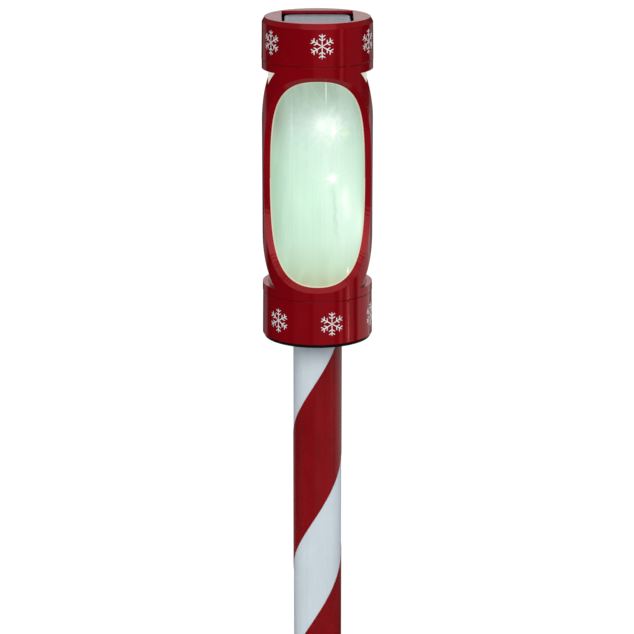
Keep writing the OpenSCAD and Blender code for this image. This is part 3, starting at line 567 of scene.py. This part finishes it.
def screw_ring(name, node, body, material, spots):
    """One piece with a screw at each spot, given as x, y and the height of its head's seat."""
    count = len(screw_points(0))
    one_faces = turned_faces(count // SCREW_STEPS, SCREW_STEPS)
    points = np.concatenate([screw_points(seat) + [px, py, 0] for px, py, seat in spots])
    faces = [np.asarray(part) + k * count for k in range(len(spots)) for part in one_faces]
    piece = make_piece(name, points, faces, material, sharp=30)
    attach(piece, body)
    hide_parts(node)


def ring_spots(radius, angles, seat):
    """Screw spots round a circle, at angles from the right in degrees."""
    return [(radius * math.cos(math.radians(a)), radius * math.sin(math.radians(a)), seat) for a in angles]


def plated_metal(name, colour, roughness):
    """Plated steel: bright metal with a cloudy bloom and fine brushing."""
    material, tree, output = new_material(name)
    coordinates = object_place(tree)
    bloom = noise(coordinates, 900, detail=3.0)
    brushing = noise(coordinates, 6000, detail=1.0, stretch=(1, 1, 0.1))
    dull = tuple(part * 0.7 for part in colour)
    surface(tree, output, {"Base Color": blend(remap(bloom, 0.35, 0.7), colour, dull),
                           "Roughness": bloom * 0.25 + roughness, "Metallic": 1.0}, height=brushing * 3e-6)
    return material


zinc = plated_metal("zinc_plate", (0.62, 0.63, 0.66), 0.2)
screw_ring("base_screw_set", "base_screws", "head", zinc,
           ring_spots(BASE_SCREW_CIRCLE, BASE_SCREW_ANGLES, BASE_SCREW_SEAT))


# Snowflakes: white ink, pad-printed on the red band and cap, a plain six-armed ornament.
# The ink is a little chalky, with fine round-tipped strokes that stand a hair proud of the plastic.
FLAKE_ARM = 0.0084
FLAKE_STROKE = 0.0003
FLAKE_TWIGS = ((0.0038, 0.0025), (0.0061, 0.0025))
TWIG_ANGLE = math.radians(58)
FLAKES_ROUND = 6
INK_FLOOR = 0.00002
INK_TOP = 0.0001
STROKE_STEPS = 9


def flake_strokes():
    """Both ends of each stroke: on each of six arms a spine, and two pairs of twigs that lean outwards."""
    ends = [((0, 0), (0, FLAKE_ARM))]
    for start, length in FLAKE_TWIGS:
        for side in (-1, 1):
            ends.append(((0, start),
                         (side * length * math.sin(TWIG_ANGLE), start + length * math.cos(TWIG_ANGLE))))
    turns = np.arange(6) * np.pi / 3
    turned = np.array([[np.cos(turns), -np.sin(turns)], [np.sin(turns), np.cos(turns)]])
    return np.einsum("ijk,sej->ksei", turned, np.array(ends)).reshape(-1, 2, 2)


def flake_points(wall_radius, slope, height, turn):
    """Strokes laid on a round wall: rings of four corners along each, thinner towards both tips.

    A place u across and v up lies at x = u, y = -sqrt(r^2 - u^2), turned about the pole; r falls with v."""
    ends = flake_strokes()
    along = np.linspace(0, 1, STROKE_STEPS)
    run = ends[:, 1] - ends[:, 0]
    line = ends[:, None, 0] + along[:, None] * run[:, None]
    across = np.stack([-run[:, 1], run[:, 0]], -1) / np.linalg.norm(run, axis=1, keepdims=True)
    half = FLAKE_STROKE * np.sqrt(np.clip(1 - np.abs(2 * along - 1) ** 9, 0.12, 1))
    side = np.array([-1, 1, 1, -1])
    spot = line[:, :, None] + (half[:, None] * side)[None, :, :, None] * across[:, None, None]
    radius = wall_radius - slope * spot[..., 1] + np.array([INK_FLOOR, INK_FLOOR, INK_TOP, INK_TOP])
    depth = np.sqrt(radius ** 2 - spot[..., 0] ** 2)
    turns = np.radians(turn) + np.arange(FLAKES_ROUND) * 2 * np.pi / FLAKES_ROUND
    cosine = np.cos(turns)[:, None, None, None]
    sine = np.sin(turns)[:, None, None, None]
    rolled = np.zeros((FLAKES_ROUND, *depth.shape, 3))
    rolled[..., 0] = spot[..., 0] * cosine + depth * sine
    rolled[..., 1] = spot[..., 0] * sine - depth * cosine
    rolled[..., 2] = spot[..., 1] + height
    return rolled.reshape(-1, 3)


def flake_faces(count):
    """Faces of that many strokes, each a tube of four sides closed at both ends."""
    one = grid_faces(STROKE_STEPS, 4, closed=True)
    tubes = (np.arange(count)[:, None, None] * STROKE_STEPS * 4 + one).reshape(-1, 4)
    first = np.arange(count)[:, None] * STROKE_STEPS * 4
    return [tubes, first + [3, 2, 1, 0], first + (STROKE_STEPS - 1) * 4 + np.arange(4)]


ink_white = moulded_plastic("ink_white", (0.95, 0.96, 0.96), 0.36, wave=4e-6, grain=4e-6, scratches=0.5,
                            tint=0.05)
for name, node, body, *wall in (
        ("band_flake_ring", "band_snowflakes", "head", 0.03745, 0.010, 0.5069, 14.75),
        ("cap_flake_ring", "cap_snowflakes", "cap", 0.037452, 0.01378, 0.6961, 4.25)):
    flakes = flake_points(*wall)
    ring = make_piece(name, flakes, flake_faces(len(flakes) // (STROKE_STEPS * 4)), ink_white)
    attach(ring, body)
    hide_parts(node)


# Seals: flat rings of soft black rubber at both ends of the diffuser, against rattle and rain.
# They are punched from sheet and held by the pieces that press on them.
seal_rubber = moulded_plastic("seal_rubber", (0.02, 0.02, 0.021), 0.6, grain=8e-6, scratches=0.1)
nodes["diffuser_seal"].data.materials[0] = seal_rubber
nodes["cap_seal"].data.materials[0] = seal_rubber


# Diffuser: a frosted polycarbonate tube standing on the deck, lit from inside by the lights on the mast.
# The crinkled film behind it breaks each light up into a star, and light runs out along the cage's edge.
# Its glow is painted into its emission colour: the pools and stars of light, the shade at its sides, corners
# and creases, and the line of light along the cage's edge.
DIFFUSER_RADIUS = 0.0332
WINDOW_MIDDLE = 0.60175
WINDOW_HALF_ANGLE = math.radians(72.2)
WINDOW_HALF_HEIGHT = 0.0702
WINDOW_POWER = 2.35
BRIGHTEST_TURN = 0.12
GLOW_BY_HEIGHT = ((0.535, (0.42, 0.46, 0.28)), (0.5437, (0.46, 0.60, 0.40)), (0.5506, (0.50, 0.67, 0.48)),
                  (0.5644, (0.565, 0.78, 0.615)), (0.592, (0.59, 0.84, 0.66)), (0.626, (0.56, 0.78, 0.63)),
                  (0.641, (0.52, 0.69, 0.60)), (0.652, (0.455, 0.59, 0.515)), (0.6605, (0.415, 0.53, 0.445)),
                  (0.671, (0.33, 0.39, 0.30)))
GLOW_LOW = GLOW_BY_HEIGHT[0][0]
GLOW_HIGH = GLOW_BY_HEIGHT[-1][0]
SIDE_SHADE_GREEN = (0.32, 0.51, 0.35)
CORNER_SHADE_GREEN = (0.25, 0.36, 0.26)
SHADED_GREEN = (0.20, 0.22, 0.16)
LINE_SHADE_GREEN = (0.36, 0.56, 0.42)
LIT_GREEN = (0.82, 1.0, 0.86)
GOLD_LIGHT_GREEN = (0.72, 0.94, 0.55)
STAR_WHITE = (1.0, 1.0, 0.95)
WARM_RIM = (0.76, 0.66, 0.44)
NOTCH_LIT = (0.62, 0.60, 0.53)
NOTCH_SHADED = (0.20, 0.075, 0.08)
UNLIT_FROST = (0.10, 0.12, 0.11)
MIRRORED_GLOW_DIMMING = 0.6

# Levels between which the corners' shade grows, the rim's light fades and each notch's light grows
CORNER_LEVELS = (0.615, 0.655)
RIM_LEVELS = (0.630, 0.666)
LOWER_NOTCH_LEVELS = (0.536, 0.560)
UPPER_NOTCH_LEVELS = (0.652, 0.671)

# Soft spots of painted light and shade, each with its angle from the front in degrees, its level, width,
# height
# and strength: the painted pools of light right of the middle and the upper light's halo, the painted dusk at
# the upper left, the golden patch of painted light where the film splits the colours, and the painted bright
# lines and glints of the sharpest folds
LIT_SPOTS = ((40, 0.583, 0.0135, 0.030, 0.50), (60, 0.572, 0.0055, 0.013, 0.45),
             (11, 0.6425, 0.0095, 0.0100, 0.62), (10, 0.612, 0.0110, 0.020, 0.18))
DUSK_SPOT = (-56, 0.648, 0.009, 0.020, 0.55)
GOLD_LIGHT_SPOT = (33, 0.6365, 0.0035, 0.0028, 0.45)
BRIGHT_FOLDS = ((9.4, 0.6665, 0.0003, 0.0095, 0.75), (-31.3, 0.6400, 0.00035, 0.0160, 0.30),
                (-33.4, 0.6250, 0.00030, 0.030, 0.14), (3.5, 0.6434, 0.0024, 0.0034, 0.30),
                (33.2, 0.5922, 0.0030, 0.0062, 0.60), (37.5, 0.5825, 0.0034, 0.0055, 0.35),
                (37.8, 0.5414, 0.0008, 0.0022, 0.80))

# Stars: angle and level of a light, its core's width and height, its rays' reach, strength, rays and seed
STARS = ((18.2, 0.6386, 0.0013, 0.0046, 0.0075, 0.85, 0.9, 1.0),
         (5.5, 0.6415, 0.0065, 0.0060, 0.0125, 0.18, 1.9, 7.0),
         (17.1, 0.6063, 0.0027, 0.0030, 0.0052, 0.90, 0.8, 4.0))

# Creases, painted as thin lines of shade: how fast each runs left as it climbs, the level where it crosses
# the front line, then the level of its middle, its width, height and strength. The upper one is straight and
# the lower one wavers.
UPPER_CREASE = (0.58, 0.66181, 0.6626, 0.0006, 0.0085, 0.45)
LOWER_CREASE = (0.105, 0.69315, 0.5835, 0.0014, 0.022, 0.38)
CREASE_WANDER = 0.006


def soft_spot(across, up, width, height):
    """A round-shouldered spot: e to the power of minus (across / width)^2 minus (up / height)^2."""
    a = across / width
    b = up / height
    return calc("EXPONENT", (a * a + b * b) * -1.0)


# Star of one light: a bright core with uneven rays, made of noise over the direction from its middle.
light_star, given, made = group("light_star", {"Across": 0.0, "Up": 0.0, "Core Width": 0.003,
                                               "Core Height": 0.004, "Reach": 0.006, "Rays": 1.0,
                                               "Seed": 0.0}, ("Value",))
across = given["Across"]
up = given["Up"]
distance = calc("SQRT", across * across + (up * up + 1e-9))
heading = source(light_star, "ShaderNodeCombineXYZ", 0,
                 enumerate((across / distance, up / distance, given["Seed"] + distance * 40.0)))
rays = remap(noise(heading, 3.6, detail=5.0, roughness=0.85), 0.44, 0.62)
spread = calc("EXPONENT", distance / given["Reach"] * -1.0)
core = soft_spot(across, up, given["Core Width"], given["Core Height"])
feed(made["Value"], core + rays * spread * given["Rays"])

diffuser_glow, tree, output = new_material("diffuser_glow")
coordinates = object_place(tree)
x, y, z = axes_of(coordinates)
half_turn = calc("WRAP", calc("ARCTAN2", x, y * -1.0), math.pi / 2, -math.pi / 2)
rolled_out = half_turn * DIFFUSER_RADIUS
# Painted glow: brightest near mid height, dimmer towards the top and bottom, and painted shade towards the
# sides
ramp = tree.nodes.new("ShaderNodeValToRGB")
feed(ramp.inputs[0], remap(z, GLOW_LOW, GLOW_HIGH, smooth=False))
stops = ramp.color_ramp.elements
while len(stops) < len(GLOW_BY_HEIGHT):
    stops.new(0.5)
for stop, (level, colour) in zip(stops, GLOW_BY_HEIGHT):
    stop.position = (level - GLOW_LOW) / (GLOW_HIGH - GLOW_LOW)
    stop.color = (*colour, 1)
side_shade = remap(abs(half_turn - BRIGHTEST_TURN), 0.25, 1.5, 0.0, 0.95)
shade = blend(side_shade, Signal(tree, ramp.outputs[0]), SIDE_SHADE_GREEN)

# How near a place is to the window's edge, 1 on the edge itself; the upper corners get painted shade, as from
# the cage
edge = ((abs(half_turn) / WINDOW_HALF_ANGLE) ** WINDOW_POWER
        + (abs(z - WINDOW_MIDDLE) / WINDOW_HALF_HEIGHT) ** WINDOW_POWER) ** (1 / WINDOW_POWER)
shade = blend(remap(edge, 0.55, 1.0, 0.0, 0.75) * remap(z, *CORNER_LEVELS), shade, CORNER_SHADE_GREEN)

# Drawn look of the film: fine lines of painted shade along the tube, and broad soft folds of painted light
drawn = noise(coordinates, 900, detail=3.0, roughness=0.7, stretch=(1, 1, 0.006))
folds = noise(coordinates, 60, detail=4.0, distortion=1.0, stretch=(1, 1, 0.3))
shade = blend(remap(drawn, 0.30, 0.62, 0.2, 0.0), shade, LINE_SHADE_GREEN)
shade = blend(remap(folds, 0.38, 0.68, 0.0, 0.13), shade, LIT_GREEN)


def from_spot(angle, level):
    """How far the surface lies across and up from a place on the tube, in metres."""
    return rolled_out - math.radians(angle) * DIFFUSER_RADIUS, z - level


def spot(angle, level, width, height, strength):
    """A soft spot at a place on the tube."""
    return soft_spot(*from_spot(angle, level), width, height) * strength


def crease(slope, crossing, level, width, height, strength, wander=0.0):
    """A thin soft line that leans across the tube."""
    return soft_spot(rolled_out + wander + (z - crossing) * slope, z - level, width, height) * strength


def total(signals):
    """The sum of several signals."""
    return sum(signals[1:], signals[0])


# Painted light and dusk on the film, and painted shade along its creases
shade = blend(calc("MINIMUM", total([spot(*lit) for lit in LIT_SPOTS]), 0.85), shade, LIT_GREEN)
shade = blend(spot(*DUSK_SPOT), shade, SHADED_GREEN)
shade = blend(spot(*GOLD_LIGHT_SPOT), shade, GOLD_LIGHT_GREEN)
wander = (noise(coordinates, 140, detail=3.0) - 0.5) * CREASE_WANDER
shade = blend(crease(*UPPER_CREASE), shade, LINE_SHADE_GREEN)
shade = blend(crease(*LOWER_CREASE, wander), shade, LINE_SHADE_GREEN)

# Painted stars of the lights seen through the film, and painted glints of its sharpest folds
starlight = [spot(*fold) for fold in BRIGHT_FOLDS]
for angle, level, core_width, core_height, reach, strength, ray_share, seed in STARS:
    across, up = from_spot(angle, level)
    star = use(tree, light_star, {
        "Across": across, "Up": up, "Core Width": core_width, "Core Height": core_height,
        "Reach": reach, "Rays": ray_share, "Seed": seed})
    starlight.append(star["Value"] * strength)
shade = blend(calc("MINIMUM", total(starlight), 1.0), shade, STAR_WHITE)

# Painted warm line of light along the window's edge, weaker at the top, and the ends that show in the
# notches, painted lit towards the top of each notch and shaded lower down
ends = remap(abs(z - WINDOW_MIDDLE), 0.03, 0.065, 0.0, 0.008)
rim_light = remap(edge - ends, 0.972, 0.990) * remap(z, *RIM_LEVELS, 0.8, 0.3)
shade = blend(rim_light, shade, WARM_RIM)
lower_notch = remap(z, *LOWER_NOTCH_LEVELS) * calc("LESS_THAN", z, WINDOW_MIDDLE)
upper_notch = remap(z, *UPPER_NOTCH_LEVELS, 0.3, 1.0) * calc("GREATER_THAN", z, WINDOW_MIDDLE)
notch = blend(lower_notch + upper_notch, NOTCH_SHADED, NOTCH_LIT)
shade = blend(remap(edge, 1.01, 1.03), shade, notch)

# The glow is painted darker for mirrored rays only: painted shade on its reflection in the plastic round the
# window
shade = blend(source(tree, "ShaderNodeLightPath", "Is Glossy Ray") * MIRRORED_GLOW_DIMMING, shade, (0.0, 0.0, 0.0))
surface(tree, output, {"Base Color": UNLIT_FROST, "Roughness": 0.3, "Emission Color": shade,
                       "Emission Strength": 1.0}, height=noise(coordinates, 3000, detail=1.0) * 6e-6)
nodes["diffuser"].data.materials[0] = diffuser_glow


# Crinkled film: a sheet of clear polyester, crushed by hand and rolled inside the diffuser.
# It stands on the deck, and its folds and creases scatter the lights.
FILM_RADIUS = 0.0303
FILM_BOTTOM = 0.51625
FILM_TOP = 0.67045
FILM_FOLD = 0.0007
FILM_WALL = 0.0002
FILM_ROUND = 220
FILM_ROWS = 110

# Waves of the folds: how many go round, how far each leans up the film, and its shift
FILM_WAVES = ((7, 23, 0.0), (11, -16, 0.7), (4, 37, 1.9), (17, 9, 2.6), (23, -31, 4.0))


def film_points():
    """The film's skin: a cylinder whose radius is folded by sharp-ridged waves that lean different ways."""
    a, v = np.meshgrid(np.linspace(0, 2 * np.pi, FILM_ROUND, endpoint=False), np.linspace(0, 1, FILM_ROWS))
    fold = np.zeros_like(a)
    for around, upward, shift in FILM_WAVES:
        fold += (1 - 2 * np.abs(np.sin((around * a + upward * v + shift) / 2))) / len(FILM_WAVES)
    radius = FILM_RADIUS + FILM_FOLD * fold
    return np.stack([radius * np.sin(a), -radius * np.cos(a), FILM_BOTTOM + v * (FILM_TOP - FILM_BOTTOM)], -1)


# The film glows by itself with painted light, brighter on the crests of its crush, in place of the mast's
# light passing through it.
film_clear, tree, output = new_material("film_clear")
crush = noise(object_place(tree), 60, detail=5.0, roughness=0.65, distortion=1.5)
crest = remap(crush, 0.35, 0.65)
surface(tree, output, {"Base Color": blend(crest, (0.55, 0.74, 0.62), (0.92, 0.98, 0.94)),
                       "Emission Color": blend(crest, (0.35, 0.55, 0.42), (0.85, 0.95, 0.86)),
                       "Emission Strength": 0.5, "Roughness": 0.12, "Alpha": 0.45}, height=crush * 4e-4)
film_sheet = make_piece("film_sheet", film_points(), [grid_faces(FILM_ROWS, FILM_ROUND, closed=True)],
                        film_clear)
film_wall = film_sheet.modifiers.new("wall", "SOLIDIFY")
film_wall.thickness = FILM_WALL
film_wall.offset = 0
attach(film_sheet, "head")
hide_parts("crinkled_film")


# Cage: the red moulding that guards the diffuser, with a collar at each end and two tall windows.
# It is the same glossy ABS as the band, and its tongue plugs into the band's top.
nodes["cage"].data.materials[0] = candy_red("cage_red")


# Cap: the red lid that holds the solar panel, the cell and the board, with a square well in its top.
# Its skirt slides down inside the diffuser's end.
nodes["cap_shell"].data.materials[0] = candy_red("cap_red")


# Panel pad: the black foam tape that sticks the solar panel into its pocket.
# It is a frame of closed-cell rubber foam with glue on both faces, die-cut to the panel's outline.
nodes["panel_pad"].data.materials[0] = seal_rubber


# Solar panel: dark silicon strips joined by grey ribbons, on a board with a grey margin.
# A clear resin skin with softly rounded edges is poured over it.
PANEL_HALF = 0.0223
PANEL_CORNER = 0.0037
PANEL_BOTTOM = 0.7065
PANEL_TOP = 0.7085
PANEL_STEPS = 96
WAFER_EDGE = (0.01965, 0.01975)
STRIP_WIDTH = 0.0098
STRIP_GAP = (0.00018, 0.00026)
RIBBON_X = 0.0098
RIBBON_EDGE = (0.00030, 0.00038)
FINGER_SPACING = 0.0018
FINGER_EDGE = (0.00005, 0.00010)
SILICON_DARK = (0.035, 0.05, 0.085)
SILICON_LIGHT = (0.06, 0.085, 0.13)
FINGER_GREY = (0.16, 0.17, 0.19)
RIBBON_GREY = (0.11, 0.125, 0.15)
GAP_GREY = (0.07, 0.08, 0.085)
BOARD_GREY = (0.13, 0.16, 0.17)

# Outline of the resin's edge from below: how far each ring is drawn in, and its level
PANEL_RINGS = ((0.0003, PANEL_BOTTOM), (0.0, PANEL_BOTTOM + 0.0002), (0.0, PANEL_TOP - 0.0009),
               (0.0001, PANEL_TOP - 0.0005), (0.0004, PANEL_TOP - 0.00018), (0.0009, PANEL_TOP - 0.00004),
               (0.0016, PANEL_TOP), (0.006, PANEL_TOP))


def rounded_square(half, corner, level):
    """A ring of points round a square with rounded corners: arcs about the four corner centres."""
    quarter = np.linspace(0, np.pi / 2, PANEL_STEPS // 4)
    arcs = [np.stack([np.cos(quarter + k * np.pi / 2), np.sin(quarter + k * np.pi / 2)], -1) * corner
            + (half - corner) * np.array([[1, 1], [-1, 1], [-1, -1], [1, -1]])[k] for k in range(4)]
    return np.concatenate([np.concatenate(arcs), np.full((PANEL_STEPS, 1), level)], -1)


panel_resin, tree, output = new_material("panel_resin")
coordinates = object_place(tree)
x, y, _ = axes_of(coordinates)
wafer = remap(abs(x), *WAFER_EDGE, 1.0, 0.0) * remap(abs(y), *WAFER_EDGE, 1.0, 0.0)
# Gaps between the strips, ribbons across them, and fine fingers between the ribbons
gap = remap(calc("PINGPONG", y + 0.1, STRIP_WIDTH / 2), *STRIP_GAP, 1.0, 0.0)
ribbon = remap(abs(abs(x) - RIBBON_X), *RIBBON_EDGE, 1.0, 0.0)
finger = remap(calc("PINGPONG", x + 0.1, FINGER_SPACING / 2), *FINGER_EDGE, 0.35, 0.0)
crystal = source(tree, "ShaderNodeTexVoronoi", "Color", [("Scale", 260), ("Vector", coordinates)])
tone = source(tree, "ShaderNodeSeparateColor", 0, [(0, crystal)])
shade = blend(finger, blend(tone, SILICON_DARK, SILICON_LIGHT), FINGER_GREY)
shade = blend(gap, blend(ribbon, shade, RIBBON_GREY), GAP_GREY)
surface(tree, output, {"Base Color": blend(wafer, BOARD_GREY, shade), "Roughness": 0.4,
                       "Specular IOR Level": 0.0, "Coat Weight": 0.9, "Coat Roughness": 0.25,
                       "Sheen Weight": 0.6, "Sheen Roughness": 0.3, "Sheen Tint": (0.75, 0.9, 1.0)},
        height=noise(coordinates, 120, detail=1.0) * 1.5e-5, normal="Coat Normal")

panel_rings = [rounded_square(PANEL_HALF - inset, max(PANEL_CORNER - inset, 0.0003), level)
               for inset, level in PANEL_RINGS]
panel_points = np.concatenate([*panel_rings, [[0, 0, PANEL_BOTTOM], [0, 0, PANEL_TOP]]])
panel = make_piece("solar_panel_resin", panel_points, turned_faces(len(PANEL_RINGS), PANEL_STEPS),
                   panel_resin)
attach(panel, "cap")
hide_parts("solar_panel")

# Bead of dull black sealant that closes the gap between the panel and the walls of the well, its black also
# painted shade.
# It is half a round turned into a square ring; its inner and outer outlines have these halves and corners.
BEAD_INNER = (0.0220, 0.0090)
BEAD_OUTER = (0.02395, 0.0030)
BEAD_HEIGHT = 0.00035
BEAD_SEAT = PANEL_TOP + 0.00002
BEAD_STEPS = 12
bead_round = np.linspace(0, 2 * np.pi, BEAD_STEPS, endpoint=False)
bead_sizes = [np.array(BEAD_INNER) + (np.array(BEAD_OUTER) - BEAD_INNER) * (0.5 + 0.5 * math.cos(b))
              for b in bead_round]
bead_rings = np.stack([rounded_square(*size, BEAD_SEAT + BEAD_HEIGHT * max(math.sin(b), 0))
                       for size, b in zip(bead_sizes, bead_round)])
bead_faces = grid_faces(BEAD_STEPS + 1, PANEL_STEPS, closed=True) % (BEAD_STEPS * PANEL_STEPS)
bead_shade_black = moulded_plastic("bead_shade_black", (0.006, 0.003, 0.004), 0.9, grain=8e-6, scratches=0.0, shine=0.0)
bead = make_piece("panel_bead", bead_rings, [bead_faces[:, ::-1]], bead_shade_black)
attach(bead, "cap")


# Battery tray: white ABS that closes the cap from below, with the cell's box, the board's posts
# and the holder for the light mast; four screws hold it up in the cap.
tray_white = moulded_plastic("tray_white", (0.72, 0.73, 0.71), 0.38, grain=5e-6, tint=0.05)
nodes["battery_tray"].data.materials[0] = tray_white


# Cell: an AAA rechargeable, its steel can wrapped in a plain green sleeve that is shrunk over both shoulders.
# The can is deep-drawn, and the contacts hold it in the tray's box.
CELL_RADIUS = 0.00525
CELL_HALF = 0.02225
CELL_Y = 0.009
CELL_Z = 0.68985
CELL_STEPS = 48
SLEEVE_END = (0.0212, 0.0213)


def cell_points():
    """The can turned about X: recessed base, rolled shoulders, the sleeve's straight wall and the nub."""
    profile = np.array([[-CELL_HALF, 0.0036], [-CELL_HALF, 0.0043], [-0.0221, 0.0049], [-0.0218, 0.00518],
                        [-0.0215, CELL_RADIUS], [0.0205, CELL_RADIUS], [0.0209, 0.00515], [0.0212, 0.0048],
                        [0.02135, 0.0042], [0.0213, 0.0036], [0.0214, 0.0022], [0.0215, 0.0019],
                        [0.0221, 0.00185], [CELL_HALF, 0.0016]])
    turn = np.linspace(0, 2 * np.pi, CELL_STEPS, endpoint=False)
    along = np.repeat(profile[:, :1], CELL_STEPS, 1)
    rings = np.stack([along, profile[:, 1:] * np.cos(turn), profile[:, 1:] * np.sin(turn)], -1).reshape(-1, 3)
    return np.concatenate([rings, [[-CELL_HALF, 0, 0], [CELL_HALF, 0, 0]]]) + [0, CELL_Y, CELL_Z]


def bare_ends(shade):
    """Steel at the two ends of the cell, past the sleeve's rolled edge."""
    x = axes_of(object_place(shade.tree))[0]
    return blend(remap(abs(x), *SLEEVE_END), shade, (0.5, 0.5, 0.5))


cell_sleeve = moulded_plastic("cell_sleeve", (0.03, 0.16, 0.055), 0.25, grain=2e-6, tint=0.1, paint=bare_ends)
cell = make_piece("cell", cell_points(), turned_faces(14, CELL_STEPS), cell_sleeve)
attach(cell, "cap")
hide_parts("battery_cell")


# Contacts: nickel-plated spring steel plates at the cell's ends, with tabs that the wires are soldered to.
# They are stamped, and stand in the ends of the tray's box.
nickel = plated_metal("nickel_plate", (0.66, 0.62, 0.55), 0.24)
nodes["battery_contacts"].data.materials[0] = nickel


# Battery cover: a flat white ABS door under the cell, held by one screw through its tab.
# It is moulded in the tray's plastic and closes the cell's box.
nodes["battery_cover"].data.materials[0] = tray_white


# Tray screws: four that hold the tray up in the cap, and one through the battery cover's tab.
# They are the same zinc-plated steel screws as in the base.
TRAY_SCREW_CIRCLE = 0.02675
TRAY_SCREW_ANGLES = (62, 118, 222, 318)
TRAY_SCREW_SEAT = 0.682
COVER_SCREW = (0, 0.0182, 0.6805)
screw_ring("tray_screw_set", "tray_screws", "cap", zinc,
           ring_spots(TRAY_SCREW_CIRCLE, TRAY_SCREW_ANGLES, TRAY_SCREW_SEAT) + [COVER_SCREW])


# Control board: green fibreglass board on the tray's posts, with black chips and a wound coil.
# It is etched and lacquered, and its parts are soldered to it.
BOARD_TOP = 0.6896


def board_parts(shade):
    """Copper lines under the green lacquer, and black parts above the board's top."""
    coordinates = object_place(shade.tree)
    copper = source(shade.tree, "ShaderNodeTexBrick", "Fac",
                    [("Scale", 300), ("Mortar Size", 0.06), ("Vector", coordinates)])
    tracks = blend(copper, shade, (0.02, 0.13, 0.05))
    above = remap(axes_of(coordinates)[2], BOARD_TOP + 0.00005, BOARD_TOP + 0.0001)
    return blend(above, tracks, (0.02, 0.02, 0.022))


board_green = moulded_plastic("board_green", (0.012, 0.07, 0.026), 0.3, grain=3e-6, paint=board_parts)
nodes["control_board"].data.materials[0] = board_green


# Slide switch: a pressed steel can soldered under the board, with a black lever through the tray's slot.
# The lever is a small nylon moulding that slides between off and on.
nodes["switch_body"].data.materials[0] = nickel
lever_black = moulded_plastic("lever_black", (0.012, 0.012, 0.013), 0.4, grain=5e-6)
nodes["switch_lever"].data.materials[0] = lever_black


# Light mast: a narrow white circuit board that hangs down the middle of the diffuser.
# It is lacquered fibreglass, held at its upper end in the slot of the tray's holder.
mast_white = moulded_plastic("mast_white", (0.76, 0.78, 0.76), 0.35, grain=3e-6, tint=0.04)
nodes["light_mast"].data.materials[0] = mast_white


# Lights: pairs of white diodes back to back on the mast, a clear dome over each yellowish base.
# Each is cast in resin and soldered flat to the mast.
lens_glow, tree, output = new_material("lens_glow")
dome = remap(abs(axes_of(object_place(tree))[1]), 0.0017, 0.0022)
surface(tree, output, {"Base Color": blend(dome, (0.8, 0.78, 0.7), (0.95, 0.98, 0.94)),
                       "Emission Color": blend(dome, (0.25, 0.24, 0.16), (0.95, 1.0, 0.9)),
                       "Emission Strength": 2.0, "Roughness": 0.15})
nodes["mast_lights"].data.materials[0] = lens_glow


# Wires: thin stranded copper in red and black PVC, soldered at both ends; the red one is on the right.
# Three pairs run to the control board, from the panel, the cell and the mast.
WIRE_RADIUS = 0.0006
WIRE_SIDES = 12
WIRE_STEPS = 10
PANEL_WIRE = ((0.003, -0.011, 0.7065), (0.003, -0.011, 0.7016), (0.006, -0.013, 0.6966),
              (0.0045, -0.015, 0.6946), (0.004, -0.015, 0.6896))
BATTERY_WIRE = ((0.02325, 0.008, 0.69915), (0.02285, 0.007, 0.70165), (0.02145, 0.003, 0.70165),
                (0.018, -0.002, 0.6966), (0.013, -0.0175, 0.6936), (0.0125, -0.0185, 0.6896))
MAST_WIRE = ((0.0025, 0, 0.6858), (0.0025, -0.0003, 0.6888), (0.0025, -0.002, 0.6921),
             (0.0025, -0.0045, 0.6936), (0.0025, -0.007, 0.6921), (0.0025, -0.0074, 0.6896))


def wire_points(route, mirror):
    """A round tube along a Catmull-Rom curve through the route's points, its rings square to the curve."""
    knots = np.array(route) * [mirror, 1, 1]
    ends = np.concatenate([[2 * knots[0] - knots[1]], knots, [2 * knots[-1] - knots[-2]]])
    t = np.linspace(0, 1, WIRE_STEPS, endpoint=False)[:, None]
    spans = [0.5 * (2 * b + (c - a) * t + (2 * a - 5 * b + 4 * c - d) * t ** 2
                    + (3 * b - a - 3 * c + d) * t ** 3)
             for a, b, c, d in zip(ends[:-3], ends[1:-2], ends[2:-1], ends[3:])]
    line = np.concatenate([*spans, knots[-1:]])
    tangent = np.gradient(line, axis=0)
    tangent /= np.linalg.norm(tangent, axis=1, keepdims=True)
    first = np.cross(tangent, [0.6, 0.15, 0.3])
    first /= np.linalg.norm(first, axis=1, keepdims=True)
    second = np.cross(tangent, first)
    turn = np.linspace(0, 2 * np.pi, WIRE_SIDES, endpoint=False)
    rings = line[:, None] + WIRE_RADIUS * (np.cos(turn)[:, None] * first[:, None]
                                          + np.sin(turn)[:, None] * second[:, None])
    return np.concatenate([rings.reshape(-1, 3), line[:1], line[-1:]]), turned_faces(len(line), WIRE_SIDES)


def red_and_black(shade):
    """Black cover on the left side of the head, red on the right."""
    x = axes_of(object_place(shade.tree))[0]
    return blend(remap(x, -0.0001, 0.0001), (0.012, 0.012, 0.012), shade)


wire_cover = moulded_plastic("wire_cover", (0.42, 0.012, 0.012), 0.35, grain=2e-6, paint=red_and_black)
for name, node, route in (("panel_leads", "panel_wires", PANEL_WIRE),
                          ("cell_leads", "battery_wires", BATTERY_WIRE),
                          ("mast_leads", "mast_wires", MAST_WIRE)):
    right_points, right_faces = wire_points(route, 1)
    left_points, left_faces = wire_points(route, -1)
    leads = make_piece(name, np.concatenate([right_points, left_points]),
                       [*right_faces, *[faces + len(right_points) for faces in left_faces]], wire_cover)
    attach(leads, "cap")
    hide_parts(node)
